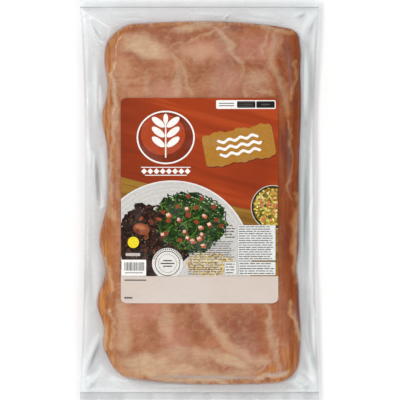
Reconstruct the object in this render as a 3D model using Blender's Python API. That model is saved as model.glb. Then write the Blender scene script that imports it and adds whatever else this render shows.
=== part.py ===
"""A vacuum-packed slab of smoked bacon in clear film, lying on its back with the label up.

+X runs to the right across the label, +Y towards the label's top edge and +Z up. The origin is on the
surface that the pack lies on, under the middle of the bag. The film clings to the slab, so bag and slab
are one closed solid: a front and a back sheet on one grid, which meet all round at the bag's edge.
"""

import math
from typing import NamedTuple

import bmesh
import bpy

MM = 0.001

# The bag: a clear film pouch, sealed across both ends.
BAG_LENGTH = 500 * MM
BAG_WIDTH = 299 * MM
WAIST_DEPTH = 6.5 * MM
WAIST_MIDDLE_Y = 40 * MM
WAIST_POWER = 2.4
SEAL_WIDTH = 10 * MM
EDGE_THICKNESS = 1.0 * MM
EDGE_HEIGHT = 9 * MM

# The height of the slab's front face, and of the film where it leaves the slab's sides.
SLAB_HEIGHT = 44 * MM
FACE_CROWN = 2.0 * MM
FACE_WAVE = 0.6 * MM
FACE_WAVE_PITCH = 150 * MM
SIDE_HEIGHT_FRONT = 20 * MM
SIDE_HEIGHT_BACK = 13 * MM

# The loose film round the slab.
CORNER_FOLD_HEIGHT = 3.0 * MM
CORNER_FOLD_WIDTH = 8 * MM
LONG_FOLD_HEIGHT = 1.6 * MM
EDGE_WAVE = 1.2 * MM
EDGE_WAVE_PITCH = 170 * MM

# Lobes along the slab's long edges: where each is, how far it stands out and its half length.
LEFT_LOBES = (
    (183 * MM, 9.5 * MM, 35 * MM),
    (105 * MM, 9.0 * MM, 29 * MM),
    (44 * MM, 6.0 * MM, 95 * MM),
    (-56 * MM, 14.5 * MM, 37 * MM),
    (-137 * MM, 19.0 * MM, 34 * MM),
    (-191 * MM, 10.5 * MM, 20 * MM),
)
RIGHT_LOBES = (
    (193 * MM, 2.0 * MM, 15 * MM),
    (128 * MM, 3.0 * MM, 59 * MM),
    (-84 * MM, -3.0 * MM, 16 * MM),
    (-170 * MM, 2.5 * MM, 32 * MM),
)
LOBE_FADE = 75 * MM

# The end edges bow outwards: the bow's middle, its half width and how far it falls back at each side.
TOP_BOW = (6 * MM, 115 * MM, 6 * MM, 11 * MM)
BOTTOM_BOW = (30 * MM, 115 * MM, 7.5 * MM, 7 * MM)
BOW_POWER = 2.2

# The label, a printed sheet on the front.
LABEL_WIDTH = 195 * MM
LABEL_TOP_Y = 126.5 * MM
LABEL_BOTTOM_Y = -128 * MM
LABEL_RADIUS = 7 * MM
LABEL_CORNER_SIDES = 6
LABEL_GAP = 0.3 * MM
LABEL_THICKNESS = 0.5 * MM
CUTTER_CLEARANCE = 12 * MM

# The grid of each sheet: half the cells across the face, then the rings out to the bag's edge.
FACE_HALF_COLUMNS = 8
FACE_HALF_ROWS = 16
SHOULDER_RINGS = 4
MARGIN_RINGS = 4
LABEL_BLANK_COLUMNS = FACE_HALF_COLUMNS + 1
LABEL_BLANK_ROWS = FACE_HALF_ROWS - 5


class Outline(NamedTuple):
    """A closed outline seen from the front: a rectangle with round corners and its share of the lobes."""

    left: float
    right: float
    bottom: float
    top: float
    radius_top_left: float
    radius_top_right: float
    radius_bottom_left: float
    radius_bottom_right: float
    lobe_share: float


SLAB = Outline(-109 * MM, 124 * MM, -230.5 * MM, 223.5 * MM, 29 * MM, 11 * MM, 20 * MM, 27 * MM, 1.0)
FACE = Outline(-99 * MM, 89 * MM, -216 * MM, 213 * MM, 22 * MM, 8 * MM, 15 * MM, 14 * MM, 0.25)
BACK = Outline(-100 * MM, 115 * MM, -221 * MM, 214 * MM, 26 * MM, 10 * MM, 17 * MM, 24 * MM, 1.0)


def mix(low, high, share):
    """The value at a share of the way from low to high."""
    return low + (high - low) * share


def mix_points(low, high, share):
    """The point at a share of the way from low to high."""
    return mix(low[0], high[0], share), mix(low[1], high[1], share)


def smooth(share):
    """A share from 0 to 1 with soft ends."""
    share = min(max(share, 0.0), 1.0)
    return share * share * (3 - 2 * share)


def lobes_at(lobes, place):
    """How far a row of rounded lobes stands out at a place along the edge."""
    return sum(out * math.exp(-(((place - middle) / half) ** 2)) for middle, out, half in lobes)


def bow_at(bow, x):
    """How far a bowed end edge falls back from its furthest point."""
    middle, half, depth_left, depth_right = bow
    depth = depth_left if x < middle else depth_right
    return depth * abs((x - middle) / half) ** BOW_POWER


def corner_cut(distance, radius):
    """How far a round corner cuts an edge back, at a distance past the start of its arc."""
    distance = min(max(distance, 0.0), radius * math.sin(math.pi / 4))
    return radius - math.sqrt(radius**2 - distance**2)


def bend(outline, x, y):
    """Moves a point of the plain rounded rectangle by the lobes of the long edges and the bows of the ends."""
    left_share = smooth((outline.left + LOBE_FADE - x) / LOBE_FADE)
    right_share = smooth((x - outline.right + LOBE_FADE) / LOBE_FADE)
    lobes = lobes_at(RIGHT_LOBES, y) * right_share - lobes_at(LEFT_LOBES, y) * left_share
    up_share = mix(outline.lobe_share, 1, 0.5) * (y - outline.bottom) / (outline.top - outline.bottom)
    down_share = mix(outline.lobe_share, 1, 0.5) * (outline.top - y) / (outline.top - outline.bottom)
    return x + lobes * outline.lobe_share, y - bow_at(TOP_BOW, x) * up_share + bow_at(BOTTOM_BOW, x) * down_share


def on_outline(outline, across, along):
    """The outline's point for a point on the edge of a square that runs from -1 to 1 both ways."""
    inset = 1 - math.cos(math.pi / 4)
    if abs(across) >= abs(along):
        low_radius = outline.radius_bottom_right if across > 0 else outline.radius_bottom_left
        high_radius = outline.radius_top_right if across > 0 else outline.radius_top_left
        y = mix(outline.bottom + low_radius * inset, outline.top - high_radius * inset, (along + 1) / 2)
        cut = corner_cut(y - (outline.top - high_radius), high_radius)
        cut += corner_cut(outline.bottom + low_radius - y, low_radius)
        x = outline.right - cut if across > 0 else outline.left + cut
    else:
        low_radius = outline.radius_top_left if along > 0 else outline.radius_bottom_left
        high_radius = outline.radius_top_right if along > 0 else outline.radius_bottom_right
        x = mix(outline.left + low_radius * inset, outline.right - high_radius * inset, (across + 1) / 2)
        cut = corner_cut(x - (outline.right - high_radius), high_radius)
        cut += corner_cut(outline.left + low_radius - x, low_radius)
        y = outline.top - cut if along > 0 else outline.bottom + cut
    return bend(outline, x, y)


def inside_outline(outline, across, along):
    """A point inside the outline, ruled between its opposite edges."""
    left, right = on_outline(outline, -1, along), on_outline(outline, 1, along)
    bottom, top = on_outline(outline, across, -1), on_outline(outline, across, 1)
    return mix(left[0], right[0], (across + 1) / 2), mix(bottom[1], top[1], (along + 1) / 2)


def on_bag(across, along):
    """The bag's outline at the seals' inner edges and its long sides, which pull in towards the waist."""
    reach = BAG_LENGTH / 2 - SEAL_WIDTH
    y = reach * along
    half_length = reach - WAIST_MIDDLE_Y if y > WAIST_MIDDLE_Y else reach + WAIST_MIDDLE_Y
    past_waist = min(abs(y - WAIST_MIDDLE_Y) / half_length, 1.0)
    half_width = BAG_WIDTH / 2 - WAIST_DEPTH * (1 - past_waist**WAIST_POWER)
    return half_width * across, y


def face_height(x, y):
    """The height of the slab's front face, slightly crowned and uneven."""
    crown = FACE_CROWN * ((x / FACE.right) ** 2 + (y / FACE.top) ** 2) / 2
    turn = 2 * math.pi / FACE_WAVE_PITCH
    return SLAB_HEIGHT - crown + FACE_WAVE * math.sin(turn * x + 1.0) * math.cos(turn * y * 0.8)


def corner_fold(x, y):
    """The share of a corner fold's height: a ridge from each corner of the bag to the slab's corner."""
    run_x, run_y = BAG_WIDTH / 2 - SLAB.right, BAG_LENGTH / 2 - SEAL_WIDTH - SLAB.top
    length = math.hypot(run_x, run_y)
    off_x = abs(x) - BAG_WIDTH / 2
    off_y = abs(y) - (BAG_LENGTH / 2 - SEAL_WIDTH)
    off_line = (off_x * run_y - off_y * run_x) / length
    return math.exp(-((off_line / CORNER_FOLD_WIDTH) ** 2))


def margin_heights(x, y, share):
    """The back and front height of the loose film, at a share of the way out from the slab to the edge."""
    middle = mix((SIDE_HEIGHT_FRONT + SIDE_HEIGHT_BACK) / 2, EDGE_HEIGHT, smooth(share))
    half = mix((SIDE_HEIGHT_FRONT - SIDE_HEIGHT_BACK) / 2, EDGE_THICKNESS / 2, 1 - (1 - share) ** 2)
    middle += EDGE_WAVE * share * math.sin(2 * math.pi * y / EDGE_WAVE_PITCH + 0.6)
    arch = math.sin(math.pi * share)
    middle += LONG_FOLD_HEIGHT * arch * math.cos(2 * math.pi * y / (2.3 * EDGE_WAVE_PITCH))
    return middle - half, middle + half + CORNER_FOLD_HEIGHT * arch * corner_fold(x, y)


def sheet_point(column, row, front):
    """The point of the front or back sheet at a place on the grid, counted from the middle of the face."""
    inner = FACE if front else BACK
    rings_across = abs(column) - FACE_HALF_COLUMNS
    rings_along = abs(row) - FACE_HALF_ROWS
    ring = max(rings_across, rings_along, 0)
    across = column / (FACE_HALF_COLUMNS + ring)
    along = row / (FACE_HALF_ROWS + ring)
    if ring == 0:
        x, y = inside_outline(inner, across, along)
        return x, y, face_height(x, y) if front else 0.0
    if ring <= SHOULDER_RINGS:
        angle = math.pi / 2 * (1 - ring / SHOULDER_RINGS)
        slab, edge = on_outline(SLAB, across, along), on_outline(inner, across, along)
        x, y = mix_points(slab, edge, 1 - math.cos(angle))
        low, high = (SIDE_HEIGHT_FRONT, face_height(*edge)) if front else (SIDE_HEIGHT_BACK, 0.0)
        return x, y, mix(low, high, math.sin(angle))
    share = (ring - SHOULDER_RINGS) / MARGIN_RINGS
    x, y = mix_points(on_outline(SLAB, across, along), on_bag(across, along), share)
    back, top = margin_heights(x, y, share)
    return x, y, top if front else back


def seal_point(column, end, front):
    """A point on the outer edge of a sealed end, which is straight and flat."""
    rings = SHOULDER_RINGS + MARGIN_RINGS
    x, y, z = sheet_point(column, end * (FACE_HALF_ROWS + rings), front)
    return x, y + end * SEAL_WIDTH, z


def sheet_points(columns, rows, front, with_seals):
    """The sheet's points by grid place, from -columns to columns and from -rows to rows."""
    points = {
        (column, row): sheet_point(column, row, front)
        for column in range(-columns, columns + 1)
        for row in range(-rows, rows + 1)
    }
    if with_seals:
        for column in range(-columns, columns + 1):
            for end in (-1, 1):
                points[column, end * (rows + 1)] = seal_point(column, end, front)
    return points


def split_cell(column, row):
    """The two triangles of a grid cell, split along the diagonal that points away from the middle."""
    low_left, low_right = (column, row), (column + 1, row)
    high_left, high_right = (column, row + 1), (column + 1, row + 1)
    if (column + 0.5) * (row + 0.5) > 0:
        return (low_left, low_right, high_right), (low_left, high_right, high_left)
    return (low_left, low_right, high_left), (low_right, high_right, high_left)


def closed_sheets(mesh_name, back_points, front_points, columns, rows):
    """A mesh with a back and a front sheet on one grid, closed round the rim."""
    builder = bmesh.new()
    back = {place: builder.verts.new(point) for place, point in back_points.items()}
    front = {place: builder.verts.new(point) for place, point in front_points.items()}
    for column in range(-columns, columns):
        for row in range(-rows, rows):
            for corners in split_cell(column, row):
                builder.faces.new([front[place] for place in corners])
                builder.faces.new([back[place] for place in reversed(corners)])
    rim = [(column, -rows) for column in range(-columns, columns)]
    rim += [(columns, row) for row in range(-rows, rows)]
    rim += [(column, rows) for column in range(columns, -columns, -1)]
    rim += [(-columns, row) for row in range(rows, -rows, -1)]
    for here, after in zip(rim, rim[1:] + rim[:1]):
        builder.faces.new([back[here], back[after], front[after], front[here]])
    mesh = bpy.data.meshes.new(mesh_name)
    builder.to_mesh(mesh)
    builder.free()
    return mesh


def add_object(name, mesh):
    """A new object with that mesh, in the scene."""
    thing = bpy.data.objects.new(name, mesh)
    bpy.context.scene.collection.objects.link(thing)
    return thing


def material(name, colour, roughness):
    """A plain Principled material."""
    made = bpy.data.materials.new(name)
    made.use_nodes = True
    shader = made.node_tree.nodes["Principled BSDF"]
    shader.inputs["Base Color"].default_value = (*colour, 1.0)
    shader.inputs["Roughness"].default_value = roughness
    shader.inputs["Metallic"].default_value = 0.0
    return made


def join_flat_back(mesh):
    """Makes the slab's flat back one face."""
    builder = bmesh.new()
    builder.from_mesh(mesh)
    flat = [f for f in builder.faces if all(abs(v.co.z) < 1e-6 for v in f.verts)]
    bmesh.ops.dissolve_faces(builder, faces=flat, use_verts=False)
    builder.to_mesh(mesh)
    builder.free()


def make_bag():
    """The sealed bag with the slab inside, as one closed solid."""
    columns = FACE_HALF_COLUMNS + SHOULDER_RINGS + MARGIN_RINGS
    rows = FACE_HALF_ROWS + SHOULDER_RINGS + MARGIN_RINGS
    back = sheet_points(columns, rows, front=False, with_seals=True)
    front = sheet_points(columns, rows, front=True, with_seals=True)
    mesh = closed_sheets("bag_mesh", back, front, columns, rows + 1)
    join_flat_back(mesh)
    mesh.materials.append(material("film_over_bacon", (0.46, 0.23, 0.13), 0.3))
    bag = add_object("sealed_bag", mesh)
    mesh.shade_smooth()
    mesh.set_sharp_from_angle(angle=math.radians(50))
    return bag


def label_cutter():
    """An upright prism with the label's outline, a rectangle with round corners."""
    half_width = LABEL_WIDTH / 2
    middle_y = (LABEL_TOP_Y + LABEL_BOTTOM_Y) / 2
    half_length = (LABEL_TOP_Y - LABEL_BOTTOM_Y) / 2
    builder = bmesh.new()
    outline = []
    for quarter, (side, end) in enumerate(((1, 1), (-1, 1), (-1, -1), (1, -1))):
        for step in range(LABEL_CORNER_SIDES + 1):
            angle = math.pi / 2 * (quarter + step / LABEL_CORNER_SIDES)
            x = side * (half_width - LABEL_RADIUS) + LABEL_RADIUS * math.cos(angle)
            y = middle_y + end * (half_length - LABEL_RADIUS) + LABEL_RADIUS * math.sin(angle)
            outline.append(builder.verts.new((x, y, SLAB_HEIGHT - CUTTER_CLEARANCE)))
    floor = builder.faces.new(outline)
    raised = bmesh.ops.extrude_face_region(builder, geom=[floor])["geom"]
    moved = [v for v in raised if isinstance(v, bmesh.types.BMVert)]
    bmesh.ops.translate(builder, verts=moved, vec=(0, 0, 2 * CUTTER_CLEARANCE))
    bmesh.ops.recalc_face_normals(builder, faces=builder.faces)
    mesh = bpy.data.meshes.new("label_cutter_mesh")
    builder.to_mesh(mesh)
    builder.free()
    cutter = add_object("label_cutter", mesh)
    cutter.hide_render = True
    cutter.display_type = "WIRE"
    return cutter


def make_label():
    """The label: a thin sheet that follows the front of the bag, cut to a rectangle with round corners."""
    front = sheet_points(LABEL_BLANK_COLUMNS, LABEL_BLANK_ROWS, front=True, with_seals=False)
    under = {place: (x, y, z + LABEL_GAP) for place, (x, y, z) in front.items()}
    over = {place: (x, y, z + LABEL_GAP + LABEL_THICKNESS) for place, (x, y, z) in front.items()}
    mesh = closed_sheets("label_mesh", under, over, LABEL_BLANK_COLUMNS, LABEL_BLANK_ROWS)
    mesh.materials.append(material("label_print", (0.34, 0.05, 0.012), 0.4))
    label = add_object("label", mesh)
    cut = label.modifiers.new("outline", "BOOLEAN")
    cut.operation = "INTERSECT"
    cut.object = label_cutter()
    return label


def main():
    """Clears the scene and builds the pack."""
    for old in list(bpy.data.objects):
        bpy.data.objects.remove(old)
    make_bag()
    make_label()


main()
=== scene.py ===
"""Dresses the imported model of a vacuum-packed slab of smoked bacon.

The model's one solid for bag and slab gives way to a clear, creased film bag and the meat inside it,
and its plain label to a printed one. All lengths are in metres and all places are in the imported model's
own frame.
"""

from __future__ import annotations

import logging
import math
from dataclasses import dataclass, field
from enum import Enum
from typing import Callable, NamedTuple, Protocol, Sequence

import bpy
import numpy as np
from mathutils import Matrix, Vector


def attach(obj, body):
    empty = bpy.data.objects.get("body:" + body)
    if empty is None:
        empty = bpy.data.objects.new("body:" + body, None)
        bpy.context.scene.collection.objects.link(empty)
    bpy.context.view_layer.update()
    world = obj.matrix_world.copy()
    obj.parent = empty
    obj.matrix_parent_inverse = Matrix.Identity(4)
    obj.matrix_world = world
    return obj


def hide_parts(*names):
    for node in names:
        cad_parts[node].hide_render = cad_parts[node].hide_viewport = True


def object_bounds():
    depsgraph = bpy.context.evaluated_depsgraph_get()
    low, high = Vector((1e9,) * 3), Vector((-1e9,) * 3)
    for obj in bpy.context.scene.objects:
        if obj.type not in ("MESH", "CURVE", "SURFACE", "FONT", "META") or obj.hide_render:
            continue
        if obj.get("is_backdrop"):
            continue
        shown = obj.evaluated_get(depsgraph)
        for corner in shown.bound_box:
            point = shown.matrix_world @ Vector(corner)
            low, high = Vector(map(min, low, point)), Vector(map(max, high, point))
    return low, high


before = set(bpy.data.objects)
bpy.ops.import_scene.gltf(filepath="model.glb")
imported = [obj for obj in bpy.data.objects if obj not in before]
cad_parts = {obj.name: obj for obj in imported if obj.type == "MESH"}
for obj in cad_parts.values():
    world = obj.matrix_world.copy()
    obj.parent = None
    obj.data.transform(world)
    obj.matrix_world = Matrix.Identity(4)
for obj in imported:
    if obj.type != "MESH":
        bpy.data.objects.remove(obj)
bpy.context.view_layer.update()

LOG = logging.getLogger("bacon_pack")
MM = 0.001
BODY = "root"
BAG_NODE = "sealed_bag"
LABEL_NODE = "label"

Colour = tuple[float, float, float]
Point2 = tuple[float, float]
Point3 = tuple[float, float, float]
Values = np.ndarray
Piece = bpy.types.Object
Socket = bpy.types.NodeSocket


class Side(Enum):
    """The two sheets of film that make the bag."""

    FRONT = 1
    BACK = -1


class MeatKind(Enum):
    """What a field or streak on the slab shows; the value is the name of its attribute."""

    FAT = "fat"
    LEAN = "lean"
    PINK = "pink"
    GOLD = "gold"
    SMOKE = "smoke"


# Small helpers for numbers and for Blender's tools


def srgb(red: int, green: int, blue: int) -> Colour:
    """Turns a colour as a screen shows it into the linear values that Blender's shaders take.

    Args:
        red: Red from 0 to 255.
        green: Green from 0 to 255.
        blue: Blue from 0 to 255.

    Returns:
        The linear colour.
    """
    shares = (red / 255, green / 255, blue / 255)
    return tuple(s / 12.92 if s <= 0.04045 else ((s + 0.055) / 1.055) ** 2.4 for s in shares)


def mix(low: Values, high: Values, share: Values) -> Values:
    """The value at a share of the way from low to high."""
    return low + (high - low) * share


def smooth(share: Values) -> Values:
    """A share from 0 to 1 with soft ends."""
    share = np.clip(share, 0.0, 1.0)
    return share * share * (3 - 2 * share)


def make_active(piece: Piece) -> None:
    """Selects one piece and nothing else.

    Args:
        piece: The piece.
    """
    bpy.ops.object.select_all(action="DESELECT")
    piece.select_set(True)
    bpy.context.view_layer.objects.active = piece


def start_edit(piece: Piece, select: str = "SELECT") -> None:
    """Opens a piece in edit mode.

    Args:
        piece: The piece.
        select: SELECT to start with all of it selected, DESELECT with none.
    """
    make_active(piece)
    bpy.ops.object.mode_set(mode="EDIT")
    bpy.ops.mesh.select_mode(type="VERT")
    bpy.ops.mesh.select_all(action=select)


def end_edit() -> None:
    """Goes back to object mode."""
    bpy.ops.object.mode_set(mode="OBJECT")


def select_vertices(piece: Piece, test: Callable[[Values], Values]) -> None:
    """Selects the vertices of a piece by their place. The piece is in object mode.

    Args:
        piece: The piece.
        test: Takes the places as rows of x, y, z and says which of them are selected.
    """
    mesh = piece.data
    chosen = test(vertex_places(piece))
    mesh.polygons.foreach_set("select", np.zeros(len(mesh.polygons), dtype=bool))
    mesh.edges.foreach_set("select", np.zeros(len(mesh.edges), dtype=bool))
    mesh.vertices.foreach_set("select", chosen)


def vertex_places(piece: Piece) -> Values:
    """Reads the places of a piece's vertices.

    Args:
        piece: The piece.

    Returns:
        One row of x, y, z for each vertex.
    """
    flat = np.empty(len(piece.data.vertices) * 3)
    piece.data.vertices.foreach_get("co", flat)
    return flat.reshape(-1, 3)


def move_vertices(piece: Piece, places: Values) -> None:
    """Gives a piece's vertices new places.

    Args:
        piece: The piece.
        places: One row of x, y, z for each vertex.
    """
    piece.data.vertices.foreach_set("co", np.ascontiguousarray(places).ravel())
    piece.data.update()


def set_values(piece: Piece, name: str, values: Values) -> None:
    """Stores one number for each vertex, for a material to read.

    Args:
        piece: The piece.
        name: The attribute's name.
        values: The numbers.
    """
    attribute = piece.data.attributes.new(name, "FLOAT", "POINT")
    attribute.data.foreach_set("value", np.ascontiguousarray(values))


def apply_place(piece: Piece) -> None:
    """Moves a piece's place, turn and scale into its mesh."""
    make_active(piece)
    bpy.ops.object.transform_apply(location=True, rotation=True, scale=True)


def add_shape(shape: Callable[..., object], place: Point3, turn: float = 0.0, **settings: object) -> Piece:
    """Adds one of Blender's plain meshes.

    Args:
        shape: The operator that adds it.
        place: Where it goes.
        turn: Its turn round Z in degrees.
        **settings: The operator's own settings.

    Returns:
        The new piece.
    """
    bpy.ops.object.select_all(action="DESELECT")
    shape(location=place, rotation=(0, 0, math.radians(turn)), **settings)
    return bpy.context.active_object


def add_grid(place: Point3, size: Point2, cells: tuple[int, int], turn: float = 0.0) -> Piece:
    """Adds a flat grid; its size is in its mesh, its place and turn are the piece's own.

    Args:
        place: Its middle.
        size: Its size along X and Y.
        cells: How many cells it has along X and Y.
        turn: Its turn round Z in degrees.

    Returns:
        The new piece.
    """
    grid = bpy.ops.mesh.primitive_grid_add
    piece = add_shape(grid, place, turn, x_subdivisions=cells[0], y_subdivisions=cells[1], size=1)
    piece.scale = (*size, 1)
    bpy.ops.object.transform_apply(location=False, rotation=False, scale=True)
    return piece


def bisect(piece: Piece, plane: tuple[Point3, Point3], **settings: object) -> None:
    """Cuts a piece along a plane.

    Args:
        piece: The piece.
        plane: A point of the plane, and its normal.
        **settings: The operator's own settings.
    """
    start_edit(piece)
    bpy.ops.mesh.bisect(plane_co=plane[0], plane_no=plane[1], **settings)
    end_edit()


def apply_modifier(piece: Piece, kind: str, **settings: object) -> None:
    """Adds a modifier to a piece and applies it.

    Args:
        piece: The piece.
        kind: The modifier's type.
        **settings: What is set on it.
    """
    make_active(piece)
    modifier = piece.modifiers.new(kind.lower(), kind)
    for name, value in settings.items():
        setattr(modifier, name, value)
    bpy.ops.object.modifier_apply(modifier=modifier.name)


def finish_piece(piece: Piece, name: str, node: str | None = None) -> None:
    """Names a finished piece, lets it ride on the part and hides the solid that it replaces.

    Args:
        piece: The piece.
        name: Its name.
        node: The solid that it replaces, if any.
    """
    piece.name = name
    piece.data.name = name + "_mesh"
    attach(piece, BODY)
    if node is not None:
        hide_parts(node)
    LOG.info("%s: %d faces", name, len(piece.data.polygons))


@dataclass(frozen=True)
class LatticeNoise:
    """Soft random values on a square lattice, the same on each run.

    They go up and down by the reach. The stretch multiplies x and y, so a small one draws them out.
    """

    seed: int
    pitch: float
    reach: float = 1.0
    stretch: Point2 = (1.0, 1.0)
    cells: int = 97

    def sample(self, x: Values, y: Values) -> Values:
        """Reads the noise.

        Args:
            x: Places along X.
            y: Places along Y.

        Returns:
            A value for each place.
        """
        lattice = np.random.default_rng(self.seed).uniform(-1, 1, (self.cells, self.cells))
        across = x * self.stretch[0] / self.pitch + self.cells
        along = y * self.stretch[1] / self.pitch + self.cells
        column, row = np.floor(across).astype(int), np.floor(along).astype(int)
        share_x, share_y = smooth(across - column), smooth(along - row)
        column, row = column % self.cells, row % self.cells
        right, up = (column + 1) % self.cells, (row + 1) % self.cells
        low = mix(lattice[column, row], lattice[right, row], share_x)
        high = mix(lattice[column, up], lattice[right, up], share_x)
        return self.reach * mix(low, high, share_y)


class Ramp(NamedTuple):
    """A soft step from 0 to 1: where it starts and how far it runs, downwards where that is below 0."""

    start: float
    run: float

    def at(self, value: Values) -> Values:
        """The step's height at each value."""
        return smooth((value - self.start) / self.run)


class Bell(NamedTuple):
    """A soft hump with a height of 1: its middle and its half width."""

    middle: float
    half: float

    def at(self, value: Values) -> Values:
        """The hump's height at each value."""
        return np.exp(-(((value - self.middle) / self.half) ** 2))


# The form that bag and slab share, with the same named sizes as the solid's own source


class Lobe(NamedTuple):
    """A rounded swelling of a long edge: its middle, how far it stands out and its half length."""

    middle: float
    out: float
    half: float


class Bow(NamedTuple):
    """A bowed end edge: its middle, its half width and how far it falls back at its left and right."""

    middle: float
    half: float
    depth_left: float
    depth_right: float


LEFT_LOBES = (
    Lobe(183 * MM, 9.5 * MM, 35 * MM),
    Lobe(105 * MM, 9.0 * MM, 29 * MM),
    Lobe(44 * MM, 6.0 * MM, 95 * MM),
    Lobe(-56 * MM, 14.5 * MM, 37 * MM),
    Lobe(-137 * MM, 19.0 * MM, 34 * MM),
    Lobe(-191 * MM, 10.5 * MM, 20 * MM),
)
RIGHT_LOBES = (
    Lobe(193 * MM, 2.0 * MM, 15 * MM),
    Lobe(128 * MM, 3.0 * MM, 59 * MM),
    Lobe(-84 * MM, -3.0 * MM, 16 * MM),
    Lobe(-170 * MM, 2.5 * MM, 32 * MM),
)
TOP_BOW = Bow(6 * MM, 115 * MM, 6 * MM, 11 * MM)
BOTTOM_BOW = Bow(30 * MM, 115 * MM, 7.5 * MM, 7 * MM)
BOW_POWER = 2.2
LOBE_FADE = 75 * MM


def lobes_at(lobes: Sequence[Lobe], place: Values) -> Values:
    """How far a row of lobes stands out at each place along the edge."""
    return sum(lobe.out * np.exp(-(((place - lobe.middle) / lobe.half) ** 2)) for lobe in lobes)


def bow_at(bow: Bow, x: Values) -> Values:
    """How far a bowed end edge falls back from its furthest point at each place along X."""
    depth = np.where(x < bow.middle, bow.depth_left, bow.depth_right)
    return depth * np.abs((x - bow.middle) / bow.half) ** BOW_POWER


def corner_cut(distance: Values, radius: Values, furthest: float = math.sin(math.pi / 4)) -> Values:
    """How far a round corner cuts an edge back.

    Args:
        distance: The distance past the start of the corner's arc.
        radius: The corner's radius.
        furthest: Where the cut stops growing, as a share of the radius: half way round, or 1 at the end.

    Returns:
        The cut at each distance.
    """
    distance = np.clip(distance, 0.0, radius * furthest)
    return radius - np.sqrt(radius**2 - distance**2)


@dataclass(frozen=True)
class Outline:
    """A closed outline seen from the front: a rectangle with round corners and its share of the lobes."""

    left: float
    right: float
    bottom: float
    top: float
    radius_top_left: float
    radius_top_right: float
    radius_bottom_left: float
    radius_bottom_right: float
    lobe_share: float

    def bend(self, x: Values, y: Values) -> tuple[Values, Values]:
        """Moves points of the plain rounded rectangle by its sides' lobes and its ends' bows.

        Args:
            x: Places along X.
            y: Places along Y.

        Returns:
            The x and y of each moved point.
        """
        left_share = smooth((self.left + LOBE_FADE - x) / LOBE_FADE)
        right_share = smooth((x - self.right + LOBE_FADE) / LOBE_FADE)
        lobes = lobes_at(RIGHT_LOBES, y) * right_share - lobes_at(LEFT_LOBES, y) * left_share
        bow_share = mix(self.lobe_share, 1, 0.5)
        height = (y - self.bottom) / (self.top - self.bottom)
        fall = bow_at(BOTTOM_BOW, x) * (1 - height) - bow_at(TOP_BOW, x) * height
        return x + lobes * self.lobe_share, y + fall * bow_share

    def point(self, across: Values, along: Values) -> tuple[Values, Values]:
        """The outline's points for points on the edge of a square.

        Args:
            across: Places from -1 to 1 along X.
            along: Places from -1 to 1 along Y.

        Returns:
            The x and y of each point.
        """
        inset = 1 - math.cos(math.pi / 4)
        is_right, is_top = across > 0, along > 0
        low = np.where(is_right, self.radius_bottom_right, self.radius_bottom_left)
        high = np.where(is_right, self.radius_top_right, self.radius_top_left)
        side_y = mix(self.bottom + low * inset, self.top - high * inset, (along + 1) / 2)
        cut = corner_cut(side_y - (self.top - high), high) + corner_cut(self.bottom + low - side_y, low)
        side_x = np.where(is_right, self.right - cut, self.left + cut)
        low = np.where(is_top, self.radius_top_left, self.radius_bottom_left)
        high = np.where(is_top, self.radius_top_right, self.radius_bottom_right)
        end_x = mix(self.left + low * inset, self.right - high * inset, (across + 1) / 2)
        cut = corner_cut(end_x - (self.right - high), high) + corner_cut(self.left + low - end_x, low)
        end_y = np.where(is_top, self.top - cut, self.bottom + cut)
        on_side = np.abs(across) >= np.abs(along)
        return self.bend(np.where(on_side, side_x, end_x), np.where(on_side, side_y, end_y))

    def inside(self, across: Values, along: Values) -> tuple[Values, Values]:
        """Points inside the outline, ruled between its opposite edges.

        Args:
            across: Places from -1 to 1 along X.
            along: Places from -1 to 1 along Y.

        Returns:
            The x and y of each point.
        """
        one = np.ones_like(across)
        left, right = self.point(-one, along)[0], self.point(one, along)[0]
        bottom, top = self.point(across, -one)[1], self.point(across, one)[1]
        return mix(left, right, (across + 1) / 2), mix(bottom, top, (along + 1) / 2)


SLAB = Outline(-109 * MM, 124 * MM, -230.5 * MM, 223.5 * MM, 29 * MM, 11 * MM, 20 * MM, 27 * MM, 1.0)
FACE = Outline(-99 * MM, 89 * MM, -216 * MM, 213 * MM, 22 * MM, 8 * MM, 15 * MM, 14 * MM, 0.25)
BACK = Outline(-100 * MM, 115 * MM, -221 * MM, 214 * MM, 26 * MM, 10 * MM, 17 * MM, 24 * MM, 1.0)


class SheetPlaces(NamedTuple):
    """Where a sheet's points are, the ring of each and its share of the way across the loose film."""

    places: Values
    rings: Values
    share: Values


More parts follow.
